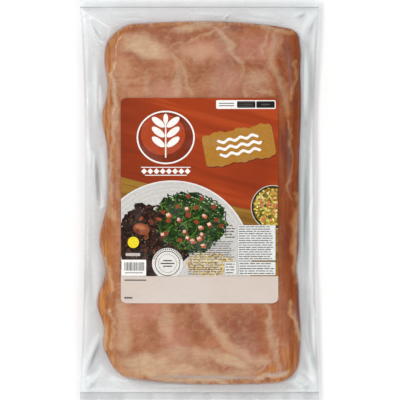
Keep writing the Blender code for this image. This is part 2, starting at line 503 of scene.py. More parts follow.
@dataclass(frozen=True)
class BagForm:
    """The form of the bag and of the slab that it clings to."""

    length: float = 500 * MM
    width: float = 299 * MM
    waist_depth: float = 6.5 * MM
    waist_middle: float = 40 * MM
    waist_power: float = 2.4
    seal_width: float = 10 * MM
    slab_height: float = 44 * MM
    face_crown: float = 2.0 * MM
    face_wave: float = 0.6 * MM
    face_wave_pitch: float = 150 * MM
    face_wave_start: float = 1.0
    face_wave_along: float = 0.8
    side_height_front: float = 20 * MM
    side_height_back: float = 13 * MM
    edge_height: float = 9 * MM
    edge_thickness: float = 0.24 * MM
    corner_fold_height: float = 3.0 * MM
    corner_fold_width: float = 8 * MM
    long_fold_height: float = 1.6 * MM
    edge_wave: float = 1.2 * MM
    edge_wave_pitch: float = 170 * MM
    edge_wave_start: float = 0.6
    long_fold_pitch: float = 391 * MM
    face_columns: int = 8
    face_rows: int = 16
    shoulder_rings: int = 4
    margin_rings: int = 4

    def bag_point(self, across: Values, along: Values) -> tuple[Values, Values]:
        """The bag's outline between its seals; its long sides pull in towards the waist.

        Args:
            across: Places from -1 to 1 along X.
            along: Places from -1 to 1 along Y.

        Returns:
            The x and y of each point.
        """
        reach = self.length / 2 - self.seal_width
        y = reach * along
        half_length = np.where(y > self.waist_middle, reach - self.waist_middle, reach + self.waist_middle)
        past_waist = np.clip(np.abs(y - self.waist_middle) / half_length, 0, 1)
        half_width = self.width / 2 - self.waist_depth * (1 - past_waist**self.waist_power)
        return half_width * across, y

    def face_height(self, x: Values, y: Values) -> Values:
        """The height of the slab's front face, slightly crowned and uneven.

        Args:
            x: Places along X.
            y: Places along Y.

        Returns:
            The height at each place.
        """
        crown = self.face_crown * ((x / FACE.right) ** 2 + (y / FACE.top) ** 2) / 2
        turn = 2 * math.pi / self.face_wave_pitch
        across = np.sin(turn * x + self.face_wave_start)
        along = np.cos(turn * y * self.face_wave_along)
        return self.slab_height - crown + self.face_wave * across * along

    def corner_fold(self, x: Values, y: Values) -> Values:
        """The corner folds, each a ridge from a corner of the bag to the slab's corner.

        Args:
            x: Places along X.
            y: Places along Y.

        Returns:
            The share of a fold's height at each place.
        """
        run_x = self.width / 2 - SLAB.right
        run_y = self.length / 2 - self.seal_width - SLAB.top
        off_x = np.abs(x) - self.width / 2
        off_y = np.abs(y) - (self.length / 2 - self.seal_width)
        off_line = (off_x * run_y - off_y * run_x) / math.hypot(run_x, run_y)
        return np.exp(-((off_line / self.corner_fold_width) ** 2))

    def margin_heights(self, x: Values, y: Values, share: Values) -> tuple[Values, Values]:
        """The heights of the loose film.

        Args:
            x: Places along X.
            y: Places along Y.
            share: The share of the way out to the film's edge.

        Returns:
            The height of the back and of the front film.
        """
        middle = mix((self.side_height_front + self.side_height_back) / 2, self.edge_height, smooth(share))
        side_half = (self.side_height_front - self.side_height_back) / 2
        half = mix(side_half, self.edge_thickness / 2, 1 - (1 - share) ** 2)
        wave = np.sin(2 * math.pi * y / self.edge_wave_pitch + self.edge_wave_start)
        middle = middle + self.edge_wave * share * wave
        arch = np.sin(math.pi * share)
        long_wave = np.cos(2 * math.pi * y / self.long_fold_pitch)
        middle = middle + self.long_fold_height * arch * long_wave
        return middle - half, middle + half + self.corner_fold_height * arch * self.corner_fold(x, y)

    def sheet(self, column: Values, row: Values, side: Side) -> SheetPlaces:
        """Places the points of the front or back sheet.

        Args:
            column: Grid columns, counted from the middle; whole numbers are the solid's own columns.
            row: Grid rows, counted from the middle; past the last ring they lie in a seal.
            side: Which sheet.

        Returns:
            The places, with each point's ring and its share of the way across the loose film.
        """
        last_row = self.face_rows + self.shoulder_rings + self.margin_rings
        seal_share = np.clip(np.abs(row) - last_row, 0, 1) * np.sign(row)
        row = np.clip(row, -last_row, last_row)
        inner = FACE if side is Side.FRONT else BACK
        rings = np.maximum(np.maximum(np.abs(column) - self.face_columns, np.abs(row) - self.face_rows), 0)
        across, along = column / (self.face_columns + rings), row / (self.face_rows + rings)
        slab_x, slab_y = SLAB.point(across, along)
        edge_x, edge_y = inner.point(across, along)
        bag_x, bag_y = self.bag_point(across, along)
        turn = math.pi / 2 * (1 - np.clip(rings / self.shoulder_rings, 0, 1))
        x = mix(slab_x, edge_x, 1 - np.cos(turn))
        y = mix(slab_y, edge_y, 1 - np.cos(turn))
        if side is Side.FRONT:
            z = mix(self.side_height_front, self.face_height(edge_x, edge_y), np.sin(turn))
        else:
            z = mix(self.side_height_back, 0.0, np.sin(turn))
        share = np.clip((rings - self.shoulder_rings) / self.margin_rings, 0, 1)
        is_margin = rings > self.shoulder_rings
        x = np.where(is_margin, mix(slab_x, bag_x, share), x)
        y = np.where(is_margin, mix(slab_y, bag_y, share), y)
        back, front = self.margin_heights(x, y, share)
        z = np.where(is_margin, front if side is Side.FRONT else back, z)
        is_face = rings == 0
        face_x, face_y = inner.inside(across, along)
        x, y = np.where(is_face, face_x, x), np.where(is_face, face_y, y)
        flat = self.face_height(x, y) if side is Side.FRONT else np.zeros_like(x)
        z = np.where(is_face, flat, z)
        places = np.stack((x, y + seal_share * self.seal_width, z), axis=1)
        return SheetPlaces(places, rings, share + np.abs(seal_share))


@dataclass(frozen=True)
class SheetGrid:
    """The fine grid of a pair of sheets: cells from the middle to each of the named borders."""

    face_columns: int
    face_rows: int
    shoulder: int
    margin: int = 0
    seal: int = 0

    def build(self) -> Piece:
        """Models a front and a back sheet on one grid, joined round the rim.

        Returns:
            The flat pair of sheets, whose x and y are grid places and whose z is 1 in front and -1 behind.
        """
        columns = self.face_columns + self.shoulder + self.margin
        rows = self.face_rows + self.shoulder + self.margin + self.seal
        grid = bpy.ops.mesh.primitive_grid_add
        piece = add_shape(grid, (0, 0, 1), x_subdivisions=2 * columns, y_subdivisions=2 * rows, size=2)
        apply_place(piece)
        start_edit(piece)
        bpy.ops.mesh.duplicate()
        bpy.ops.transform.translate(value=(0, 0, -2))
        bpy.ops.mesh.flip_normals()
        bpy.ops.mesh.select_all(action="DESELECT")
        bpy.ops.mesh.select_non_manifold()
        bpy.ops.mesh.bridge_edge_loops()
        bpy.ops.mesh.select_all(action="SELECT")
        bpy.ops.mesh.normals_make_consistent(inside=False)
        end_edit()
        places = vertex_places(piece)
        places[:, 0] *= columns
        places[:, 1] *= rows
        move_vertices(piece, places)
        return piece

    def form_places(self, form: BagForm, places: Values) -> tuple[Values, Values]:
        """Turns this grid's columns and rows into those of the solid's grid.

        Args:
            form: The form of the bag.
            places: The flat sheets' vertices.

        Returns:
            The columns and rows that the form takes.
        """
        cells = np.cumsum([self.shoulder, self.margin, self.seal])
        rings = np.cumsum([form.shoulder_rings, form.margin_rings, 1])
        kept = [index for index, count in enumerate((self.shoulder, self.margin, self.seal)) if count > 0]
        column = np.interp(
            np.abs(places[:, 0]),
            np.concatenate(([0, self.face_columns], cells[kept] + self.face_columns)),
            np.concatenate(([0, form.face_columns], rings[kept] + form.face_columns)),
        )
        row = np.interp(
            np.abs(places[:, 1]),
            np.concatenate(([0, self.face_rows], cells[kept] + self.face_rows)),
            np.concatenate(([0, form.face_rows], rings[kept] + form.face_rows)),
        )
        last_column = form.face_columns + form.shoulder_rings + form.margin_rings
        return np.sign(places[:, 0]) * np.minimum(column, last_column), np.sign(places[:, 1]) * row


# Folds in the film, marks and relief on the slab


FIELD_EDGE = Ramp(1.42, -1.0)
STREAK_EDGE = Ramp(2.3, -2.3)


def line_distance(x: Values, y: Values, start: Point2, end: Point2) -> tuple[Values, Values]:
    """How far points are from a straight line, and their share of the way along it.

    Args:
        x: The points' places along X.
        y: The points' places along Y.
        start: Where the line starts.
        end: Where it ends.

    Returns:
        The distances and the shares, from 0 to 1.
    """
    run_x, run_y = end[0] - start[0], end[1] - start[1]
    share = ((x - start[0]) * run_x + (y - start[1]) * run_y) / (run_x**2 + run_y**2)
    share = np.clip(share, 0, 1)
    return np.hypot(x - start[0] - share * run_x, y - start[1] - share * run_y), share


class Fold(NamedTuple):
    """A soft crease along a line, in millimetres: its start, its end, its height and its half width."""

    start_x: float
    start_y: float
    end_x: float
    end_y: float
    height: float
    half: float


class Field(NamedTuple):
    """A blot of one kind of meat: its middle and half sizes in millimetres, its turn in degrees."""

    x: float
    y: float
    half_x: float
    half_y: float
    turn: float
    strength: float

    def share_at(self, x: Values, y: Values) -> Values:
        """How much of the field's colour each place takes.

        Args:
            x: Places along X, in millimetres.
            y: Places along Y, in millimetres.

        Returns:
            A share from 0 to the field's strength.
        """
        turn = math.radians(self.turn)
        off_x, off_y = x - self.x, y - self.y
        across = (off_x * math.cos(turn) + off_y * math.sin(turn)) / self.half_x
        along = (off_y * math.cos(turn) - off_x * math.sin(turn)) / self.half_y
        return self.strength * FIELD_EDGE.at(np.hypot(across, along))


class Streak(NamedTuple):
    """A line of fat, lean or smoked rind: its half width, strength and points, in millimetres."""

    half: float
    strength: float
    points: tuple[Point2, ...]

    def share_at(self, x: Values, y: Values) -> Values:
        """How much of the streak's colour each place takes.

        Args:
            x: Places along X, in millimetres.
            y: Places along Y, in millimetres.

        Returns:
            A share from 0 to the streak's strength.
        """
        nearest = np.full_like(x, np.inf)
        for start, end in zip(self.points, self.points[1:]):
            nearest = np.minimum(nearest, line_distance(x, y, start, end)[0])
        return self.strength * STREAK_EDGE.at(nearest / self.half)


def fold_table(*rows: tuple[float, ...]) -> tuple[Fold, ...]:
    """Folds from rows of their six values."""
    return tuple(Fold(*row) for row in rows)


FILM_FOLDS = fold_table(
    (-141, 228, -122, 192, 2.5, 4.5), (-136, 226, -121, 196, -1.8, 6), (-135, 180, -135, 120, -1.6, 6.5),
    (-128, 188, -127, 88, 1.3, 3.9), (-127, 69, -121, -10, -2.6, 5.9), (-132, 62, -129, -44, 1.6, 5.2),
    (-136, -62, -134, -140, -1.6, 6.5), (-124, -166, -145, -220, 2.3, 4.5),
    (-121, -208, -139, -226, -2, 5.2), (-119, -211, -145, -238, 2, 3.9), (-144, 200, -142, 100, -0.8, 3.2),
    (-141, 100, -140, -50, 0.8, 3.9), (146, 235, 127, 200, 1.7, 5.2), (137, 235, 122, 215, -1.1, 6),
    (136, 190, 136, 100, 1.5, 5.2), (130, 198, 129, 88, -1.6, 3.9), (129, 75, 127, -112, 1.6, 5.2),
    (137, 102, 134, -112, -2, 5.9), (141, -125, 140, -195, -1.8, 5.9), (131, -156, 146, -231, 1.6, 5.2),
    (112, -220, 137, -235, 2.2, 4.5), (122, -212, 143, -230, -1.6, 4.5), (-112, 230, -62, 228, -1.2, 3.9),
    (-12, 231, 36, 229, 1.2, 3.2), (28, 222, 39, 234, 0.9, 2), (41, 232, 101, 226, -1.5, 4.5),
    (-112, -221, -89, -231, 1.7, 4.5), (-74, -235, 1, -234, 0.7, 2.6), (113, 225, 133, 234, 1, 3.2),
)
SLAB_FOLDS = fold_table(
    (-49, -192, -29, -180, 0.7, 1.3), (43, -194, 53, -199, 0.5, 1), (77, -208, 87, -198, 0.8, 1.2),
    (84, -130, 97, -208, 0.8, 1.5), (116, -128, 126, -178, 1.4, 2), (-119, -132, -109, -142, 0.9, 1.2),
    (-121, -139, -113, -148, -0.8, 1.2), (-102, 210, -91, 214, 0.8, 1.3), (-106, 168, -105, 115, 1, 1.6),
    (-109, 115, -108, 75, 0.8, 1.8), (-111, 50, -106, -6, 1.1, 1.8), (-113, -35, -109, -85, -0.8, 2),
    (-108, -112, -113, -125, 0.9, 1.5), (-119, -191, -108, -195, -0.7, 1.1),
    (-119, -196, -109, -200, 0.6, 1), (92, 212, 91, 168, 0.9, 1.6), (91, 170, 113, 105, 1, 1.8),
    (109, 200, 116, 112, 0.7, 2), (122, -6, 118, -95, 1, 2), (112, 102, 111, 0, 0.7, 1.6),
    (7, -129, 73, -200, 0.4, 2), (-102, 154, -59, 155, -0.35, 1.2), (-102, 141, -52, 145, -0.4, 1.2),
    (-68, 175, -66, 129, 0.35, 1.6), (-28, 172, -29, 129, 0.35, 1.6), (-68, -218, 86, -221, 0.8, 2),
    (78, -218, 113, -214, 0.7, 1.8), (79, -210, 96, -190, 0.5, 1.4), (-102, 130, -62, 131, -0.2, 1),
    (17, 210, 59, 168, 0.4, 2), (51, 175, 78, 162, -0.3, 1.6),
)

MEAT_FIELDS = {
    MeatKind.FAT: (
        (-67, 190, 31, 14, -14, 0.95), (-89, 200, 10, 6, 0, 0.45), (-7, 214, 25, 6, 8, 0.75),
        (71, 150, 18, 10, 0, 0.45), (-7, 181, 28, 10, 5, 0.35), (-93, 152, 8, 18, 0, 0.35),
        (-27, 148, 5, 20, 0, 0.4), (-67, 145, 4, 18, 0, 0.3), (-62, -202, 38, 11, -6, 0.85),
        (-95, -160, 9, 40, 2, 0.6), (38, -200, 32, 8, -18, 0.85), (-4, -190, 30, 8, -12, 0.6),
        (-42, -154, 9, 25, 5, 0.5), (97, 198, 5, 18, 0, 0.35), (-104, 100, 4, 18, 0, 0.6),
        (-121, -78, 4, 18, 10, 0.35), (-112, -12, 5, 15, 15, 0.45), (-117, -172, 4, 15, 0, 0.6),
        (-40, -212, 62, 9, 2, 0.8), (30, -216, 44, 6, 0, 0.6), (-20, -196, 40, 10, -8, 0.5),
    ),
    MeatKind.LEAN: (
        (-83, 180, 15, 5, -12, 0.95), (-59, 213, 42, 4, 4, 0.7), (-34, 202, 32, 9, -4, 0.6),
        (68, 195, 19, 15, 35, 0.55), (51, 214, 20, 5, 2, 0.95), (78, 165, 9, 4, -25, 0.6),
        (3, 155, 20, 12, 0, 0.35), (-56, 162, 18, 10, 0, 0.35), (56, -160, 30, 24, -28, 0.75),
        (66, -182, 16, 10, -22, 0.6), (-62, -162, 11, 28, 12, 0.55), (-12, -156, 18, 28, 8, 0.45),
        (-4, -202, 28, 6, -10, 0.5), (51, -211, 32, 4, 2, 0.65), (-37, -140, 20, 10, 0, 0.4),
        (108, 65, 8, 25, 0, 0.9), (104, -38, 9, 32, 0, 0.55), (107, 185, 11, 20, 0, 0.5),
        (-112, -50, 5, 32, 0, 0.65), (-109, 12, 4, 15, 0, 0.5), (-111, -125, 6, 10, 10, 0.8),
        # (-114, -198) darkens the film's wrinkles at the lower left corner: painted shade in those creases,
        # laid as lean.
        (-106, -62, 4, 38, 0, 0.35), (-114, -198, 6, 6, 0, 0.9), (-99, -190, 6, 9, 20, 0.45),
        (-119, 110, 5, 20, 0, 0.3),
    ),
    MeatKind.PINK: (
        (7, 184, 24, 12, -4, 0.9), (68, 190, 20, 17, 10, 1), (-40, 134, 22, 9, 0, 0.5),
        (30, 150, 26, 12, 0, 0.45), (-70, -140, 30, 14, 0, 0.8), (-30, -172, 18, 22, 10, 0.7),
        (6, -140, 16, 12, 0, 0.5), (60, -186, 16, 10, -20, 0.6),
    ),
    MeatKind.GOLD: (
        (-124, 112, 16, 125, 0, 0.75), (-121, -75, 16, 125, 0, 0.7), (-112, -208, 22, 15, -35, 0.75),
        (-68, -220, 42, 8, -10, 0.75), (-12, 223, 98, 4, 0, 0.7), (78, 216, 28, 6, -8, 0.55),
        (19, -228, 100, 5, 0, 0.6), (88, -215, 25, 10, 10, 0.7), (-102, 205, 18, 12, 45, 0.7),
    ),
    MeatKind.SMOKE: ((119, 22, 29, 200, 0, 1),),
}

MEAT_STREAKS = {
    MeatKind.FAT: (
        (2.4, 0.75, ((17, 212), (30, 200), (44, 183), (54, 170))),
        (1.5, 0.45, ((54, 170), (59, 152), (59, 128))),
        (4.8, 0.72, ((5, -126), (9, -142), (18, -161), (34, -180), (57, -197), (81, -202))),
        (2.2, 0.5, ((-40, 188), (-32, 176), (-22, 163), (-18, 148), (-8, 133))),
        (1.8, 0.45, ((-31, 176), (-31, 152), (-29, 131))),
        (3.2, 0.45, ((92, 210), (89, 188), (93, 165), (104, 138), (110, 108))),
        (1.8, 0.6, ((121, 172), (116, 142), (112, 125))),
        (1.9, 0.95, ((114, -128), (117, -148), (124, -172))),
        (2.5, 0.6, ((82, -129), (87, -145), (91, -175), (96, -208))), (1, 0.7, ((96, -169), (96, -208))),
        (2.8, 0.7, ((122, 5), (119, -31), (117, -62), (121, -100))),
        (1.2, 0.5, ((111, 100), (113, 62), (112, 0))), (1.8, 0.9, ((-107, 168), (-106, 145), (-106, 115))),
        (2.2, 0.6, ((-109, 115), (-107, 75), (-113, 40), (-108, 0))),
        (2, 0.6, ((-119, -72), (-112, -94), (-109, -112))), (1.2, 0.45, ((86, 212), (78, 194), (83, 175))),
        # The streaks along the slab's bottom edge, near y -220, are painted highlights laid as fat.
        (2.8, 0.8, ((78, 215), (91, 212), (116, 211))), (2.2, 0.95, ((-56, -221), (-12, -223), (32, -224))),
        (2.2, 0.9, ((71, -221), (91, -220), (107, -215))), (1.2, 0.7, ((54, -215), (76, -211), (86, -202))),
        (1.5, 0.5, ((-62, 190), (-37, 190), (1, 200), (36, 215))),
        (1.2, 0.35, ((-99, 150), (-81, 148), (-59, 151))), (2, 0.45, ((59, 140), (76, 135), (91, 130))),
        (1.8, 0.5, ((-113, -138), (-108, -150), (-109, -181))),
    ),
    MeatKind.LEAN: (
        (1.9, 0.5, ((33, 172), (51, 168), (73, 168))), (1.1, 0.5, ((-102, 154), (-74, 152), (-62, 156))),
        (1.1, 0.5, ((-99, 140), (-74, 141), (-52, 145))), (1.5, 0.7, ((-99, 209), (-81, 212), (-62, 212))),
        (0.9, 0.4, ((-49, 151), (-27, 155), (-4, 158))), (1.5, 0.5, ((88, -150), (92, -175), (91, -188))),
        (1.4, 0.5, ((8, -185), (28, -195), (51, -205), (78, -208))),
    ),
    MeatKind.SMOKE: ((2.5, 0.9, ((102, 172), (111, 145), (118, 112))),),
}


def fold_heights(x: Values, y: Values, folds: Sequence[Fold]) -> Values:
    """The summed height of folds, each highest at its middle and fading to its ends.

    Args:
        x: Places along X.
        y: Places along Y.
        folds: The folds.

    Returns:
        The height at each place.
    """
    height = np.zeros_like(x)
    for fold in folds:
        start, end = (fold.start_x, fold.start_y), (fold.end_x, fold.end_y)
        distance, share = line_distance(x / MM, y / MM, start, end)
        taper = np.sin(math.pi * share)
        height += fold.height * MM * taper * np.exp(-((distance / fold.half) ** 2))
    return height


@dataclass(frozen=True)
class CreaseRule:
    """How the loose film's small creases are drawn by chance; lengths are in millimetres.

    Most lie beside the slab's long sides and run square to them, the others lie past its ends.
    """

    count: int = 34
    seed: int = 11
    side_share: float = 0.68
    side_out: Point2 = (126, 146)
    side_half: float = 235
    side_turn: Point2 = (90, 22)
    end_out: Point2 = (227, 238)
    end_half: float = 140
    end_turn: Point2 = (0, 20)
    reach: Point2 = (6, 22)
    height_spread: float = 0.22
    half: Point2 = (2.2, 4.4)

    def folds(self) -> list[Fold]:
        """Draws the creases.

        Returns:
            One fold for each crease.
        """
        draw = np.random.default_rng(self.seed)
        creases = []
        for _ in range(self.count):
            along = draw.uniform(-1, 1)
            is_beside = draw.random() < self.side_share
            out = draw.choice((-1.0, 1.0)) * draw.uniform(*(self.side_out if is_beside else self.end_out))
            turn = math.radians(draw.normal(*(self.side_turn if is_beside else self.end_turn)))
            x, y = (out, along * self.side_half) if is_beside else (along * self.end_half, out)
            reach = draw.uniform(*self.reach)
            run_x, run_y = reach * math.cos(turn), reach * math.sin(turn)
            height = draw.normal(0, self.height_spread)
            half = draw.uniform(*self.half)
            creases.append(Fold(x - run_x, y - run_y, x + run_x, y + run_y, height, half))
        return creases


@dataclass(frozen=True)
class Relief:
    """What the fine sheets add to the form: folds of the loose film and the slab's uneven surface."""

    label_left: float = -97.5 * MM
    label_right: float = 97.5 * MM
    label_top: float = 126.5 * MM
    label_bottom: float = -128 * MM
    past_label: Ramp = Ramp(-2.1 * MM, 6 * MM)
    swells: tuple[LatticeNoise, ...] = (
        LatticeNoise(3, 26 * MM, 0.35 * MM),
        LatticeNoise(4, 11 * MM, 0.22 * MM),
        LatticeNoise(5, 4.5 * MM, 0.10 * MM),
    )
    side_swell: LatticeNoise = LatticeNoise(6, 15 * MM, 0.5 * MM, (2.4, 1.0))
    side_rings: Ramp = Ramp(0, 2)
    last_rings: Ramp = Ramp(3, 1)
    fold_gain: float = 1.3
    creases: CreaseRule = CreaseRule()
    film_swell: LatticeNoise = LatticeNoise(8, 30 * MM, 0.7 * MM, (1.0, 0.4))
    film_start: Ramp = Ramp(0, 0.18)
    film_end: Ramp = Ramp(0.8, 0.2)
    end_loss: float = 0.55
    slope_step: float = 0.6 * MM
    rib_height: float = 0.2 * MM
    rib_pitch: float = 3.2 * MM
    rib_start: Ramp = Ramp(0, 2 * MM)
    line_depth: float = 0.9 * MM
    line: Bell = Bell(1.2 * MM, 0.9 * MM)

    def off_label(self, x: Values, y: Values) -> Values:
        """Says where the label leaves the slab free.

        Args:
            x: Places along X.
            y: Places along Y.

        Returns:
            0 under the label, 1 beyond its edge.
        """
        past_x = np.maximum(self.label_left - x, x - self.label_right)
        past_y = np.maximum(self.label_bottom - y, y - self.label_top)
        return self.past_label.at(np.maximum(past_x, past_y))

    def slab(self, x: Values, y: Values, rings: Values) -> Values:
        """The slab's relief: soft swells, film creases drawn tight over it and a fine grain.

        Args:
            x: Places along X.
            y: Places along Y.
            rings: The places' rings, counted outwards from the edge of the face.

        Returns:
            The height that it adds at each place.
        """
        height = fold_heights(x, y, SLAB_FOLDS)
        for swell in self.swells:
            height += swell.sample(x, y)
        height += self.side_swell.sample(x, y) * self.side_rings.at(rings)
        return height * self.off_label(x, y) * (1 - self.last_rings.at(rings))

    def film(self, x: Values, y: Values, share: Values) -> Values:
        """The loose film's relief: its measured folds and the fine creases between them.

        Args:
            x: Places along X.
            y: Places along Y.
            share: Each place's share of the way across the loose film.

        Returns:
            The height that it adds at each place.
        """
        height = self.fold_gain * fold_heights(x, y, FILM_FOLDS) + fold_heights(x, y, self.creases.folds())
        height += self.film_swell.sample(x, y)
        return height * self.film_start.at(share) * (1 - self.end_loss * self.film_end.at(share))

    def lean(self, x: Values, y: Values, share: Values) -> tuple[Values, Values]:
        """The loose film's slopes.

        Args:
            x: Places along X.
            y: Places along Y.
            share: Each place's share of the way across the loose film.

        Returns:
            The rise along X and along Y.
        """
        step = self.slope_step
        rise_x = (self.film(x + step, y, share) - self.film(x - step, y, share)) / (2 * step)
        rise_y = (self.film(x, y + step, share) - self.film(x, y - step, share)) / (2 * step)
        return rise_x, rise_y

    def seal(self, past: Values) -> Values:
        """The height of the seals' fine ribs and of the pressed line at their inner edges."""
        ribs = self.rib_height * np.sin(2 * math.pi * past / self.rib_pitch) * self.rib_start.at(past)
        return ribs - self.line_depth * self.line.at(past)


# Finishes, each made of shader nodes that read object places or a piece's own attributes


class Pattern(NamedTuple):
    """A noise pattern: its name, its noise's settings, how far it is stretched and its turn in degrees."""

    name: str
    scale: float
    detail: float
    roughness: float
    distortion: float = 0.0
    stretch: Point3 = (1, 1, 1)
    turn: float = 0.0


class Span(NamedTuple):
    """A range of values, and what its start and its end are turned into."""

    low: float
    high: float
    to_low: float = 0.0
    to_high: float = 1.0


class Coat(NamedTuple):
    """A colour over another: the pattern its share follows, in which span, and the meat it keeps to."""

    source: str
    span: Span
    ink: Colour | Socket
    kind: MeatKind | None = None


class Nodes:
    """A material's node tree, with short calls for the few kinds of node that the finishes use."""

    def __init__(self, name: str) -> None:
        """Starts a material that has only its output.

        Args:
            name: The material's name.
        """
        self.material = bpy.data.materials.new(name)
        self.material.use_nodes = True
        self.tree = self.material.node_tree
        self.tree.nodes.clear()
        self.output = self.tree.nodes.new("ShaderNodeOutputMaterial")
        self.object_place = self.tree.nodes.new("ShaderNodeTexCoord").outputs["Object"]

    def put(self, socket: Socket, value: object) -> None:
        """Links a socket to another node's output, or sets it to a number or colour.

        Args:
            socket: The socket.
            value: The other output, the number or the colour.
        """
        if isinstance(value, bpy.types.NodeSocket):
            self.tree.links.new(value, socket)
        elif isinstance(value, tuple) and len(value) == 3 and socket.type == "RGBA":
            socket.default_value = (*value, 1.0)
        else:
            socket.default_value = value

    def node(self, kind: str, inputs: dict[str | int, object], **settings: object) -> bpy.types.Node:
        """Adds a node.

        Args:
            kind: The node's type.
            inputs: What goes into its sockets, by name or number.
            **settings: What is set on the node itself.

        Returns:
            The node.
        """
        made = self.tree.nodes.new(kind)
        for name, value in settings.items():
            setattr(made, name, value)
        for name, value in inputs.items():
            self.put(made.inputs[name], value)
        return made

    def noise(self, pattern: Pattern) -> Socket:
        """Noise from 0 to 1 with its middle at about a half.

        Args:
            pattern: What it is like; it runs along the pattern's turn.

        Returns:
            The noise.
        """
        sizes = tuple(1 / value for value in pattern.stretch)
        turn = (0.0, 0.0, math.radians(pattern.turn))
        inputs = {"Vector": self.object_place, "Scale": sizes, "Rotation": turn}
        place = self.node("ShaderNodeMapping", inputs, vector_type="TEXTURE").outputs["Vector"]
        inputs = {
            "Vector": place, "Scale": pattern.scale, "Detail": pattern.detail,
            "Roughness": pattern.roughness, "Distortion": pattern.distortion,
        }
        return self.node("ShaderNodeTexNoise", inputs).outputs["Fac"]

    def sources(self, patterns: Sequence[Pattern]) -> dict[str, Socket]:
        """Makes what coats can follow.

        Args:
            patterns: Noise patterns.

        Returns:
            The patterns by name, with the place along X as "right".
        """
        made = {pattern.name: self.noise(pattern) for pattern in patterns}
        made["right"] = self.node("ShaderNodeSeparateXYZ", {"Vector": self.object_place}).outputs["X"]
        return made

    def attribute(self, name: str, output: str = "Fac") -> Socket:
        """A piece's own attribute."""
        return self.node("ShaderNodeAttribute", {}, attribute_name=name).outputs[output]

    def range(self, value: Socket, span: Span) -> Socket:
        """Maps a range of values to another, with soft ends and nothing past them."""
        inputs = dict(zip(("Value", "From Min", "From Max", "To Min", "To Max"), (value, *span)))
        return self.node("ShaderNodeMapRange", inputs, interpolation_type="SMOOTHSTEP").outputs["Result"]

    def math(self, operation: str, first: object, second: object) -> Socket:
        """One step of arithmetic."""
        return self.node("ShaderNodeMath", {0: first, 1: second}, operation=operation).outputs[0]

    def blend(self, share: object, low: object, high: object) -> Socket:
        """Mixes two colours; the sockets' numbers are those of the colour mix."""
        return self.node("ShaderNodeMix", {0: share, 6: low, 7: high}, data_type="RGBA").outputs[2]

    def lay(self, ground: Colour | Socket, sources: dict[str, Socket], coats: Sequence[Coat]) -> Socket:
        """Lays coats of colour one over the other.

        Args:
            ground: The colour under them all.
            sources: What the coats follow, by name.
            coats: The coats, the lowest first.

        Returns:
            The colour on top.
        """
        for coat in coats:
            share = self.range(sources[coat.source], coat.span)
            if coat.kind is not None:
                share = self.math("MULTIPLY", self.attribute(coat.kind.value), share)
            ground = self.blend(share, ground, coat.ink)
        return ground

    def bump(self, height: Socket, depth: float, strength: float, normal: Socket | None = None) -> Socket:
        """A normal with fine relief.

        Args:
            height: The relief.
            depth: Its depth in metres.
            strength: How strongly it shows.
            normal: Another relief under it.

        Returns:
            The normal.
        """
        inputs: dict[str | int, object] = {"Height": height, "Distance": depth, "Strength": strength}
        if normal is not None:
            inputs["Normal"] = normal
        return self.node("ShaderNodeBump", inputs).outputs["Normal"]

    def surface(self, **values: object) -> Socket:
        """Adds the Principled shader; underscores in a name stand for spaces."""
        names = {name.replace("_", " "): value for name, value in values.items()}
        return self.node("ShaderNodeBsdfPrincipled", names).outputs[0]

    def sheer(self, share: Socket, clear: Colour, body: Socket) -> Socket:
        """Mixes a share of a solid surface with a see-through one."""
        through = self.node("ShaderNodeBsdfTransparent", {"Color": clear}).outputs[0]
        return self.node("ShaderNodeMixShader", {0: share, 1: through, 2: body}).outputs[0]

    def finish(self, shader: Socket) -> bpy.types.Material:
        """Links the last shader to the output."""
        self.tree.links.new(shader, self.output.inputs["Surface"])
        return self.material


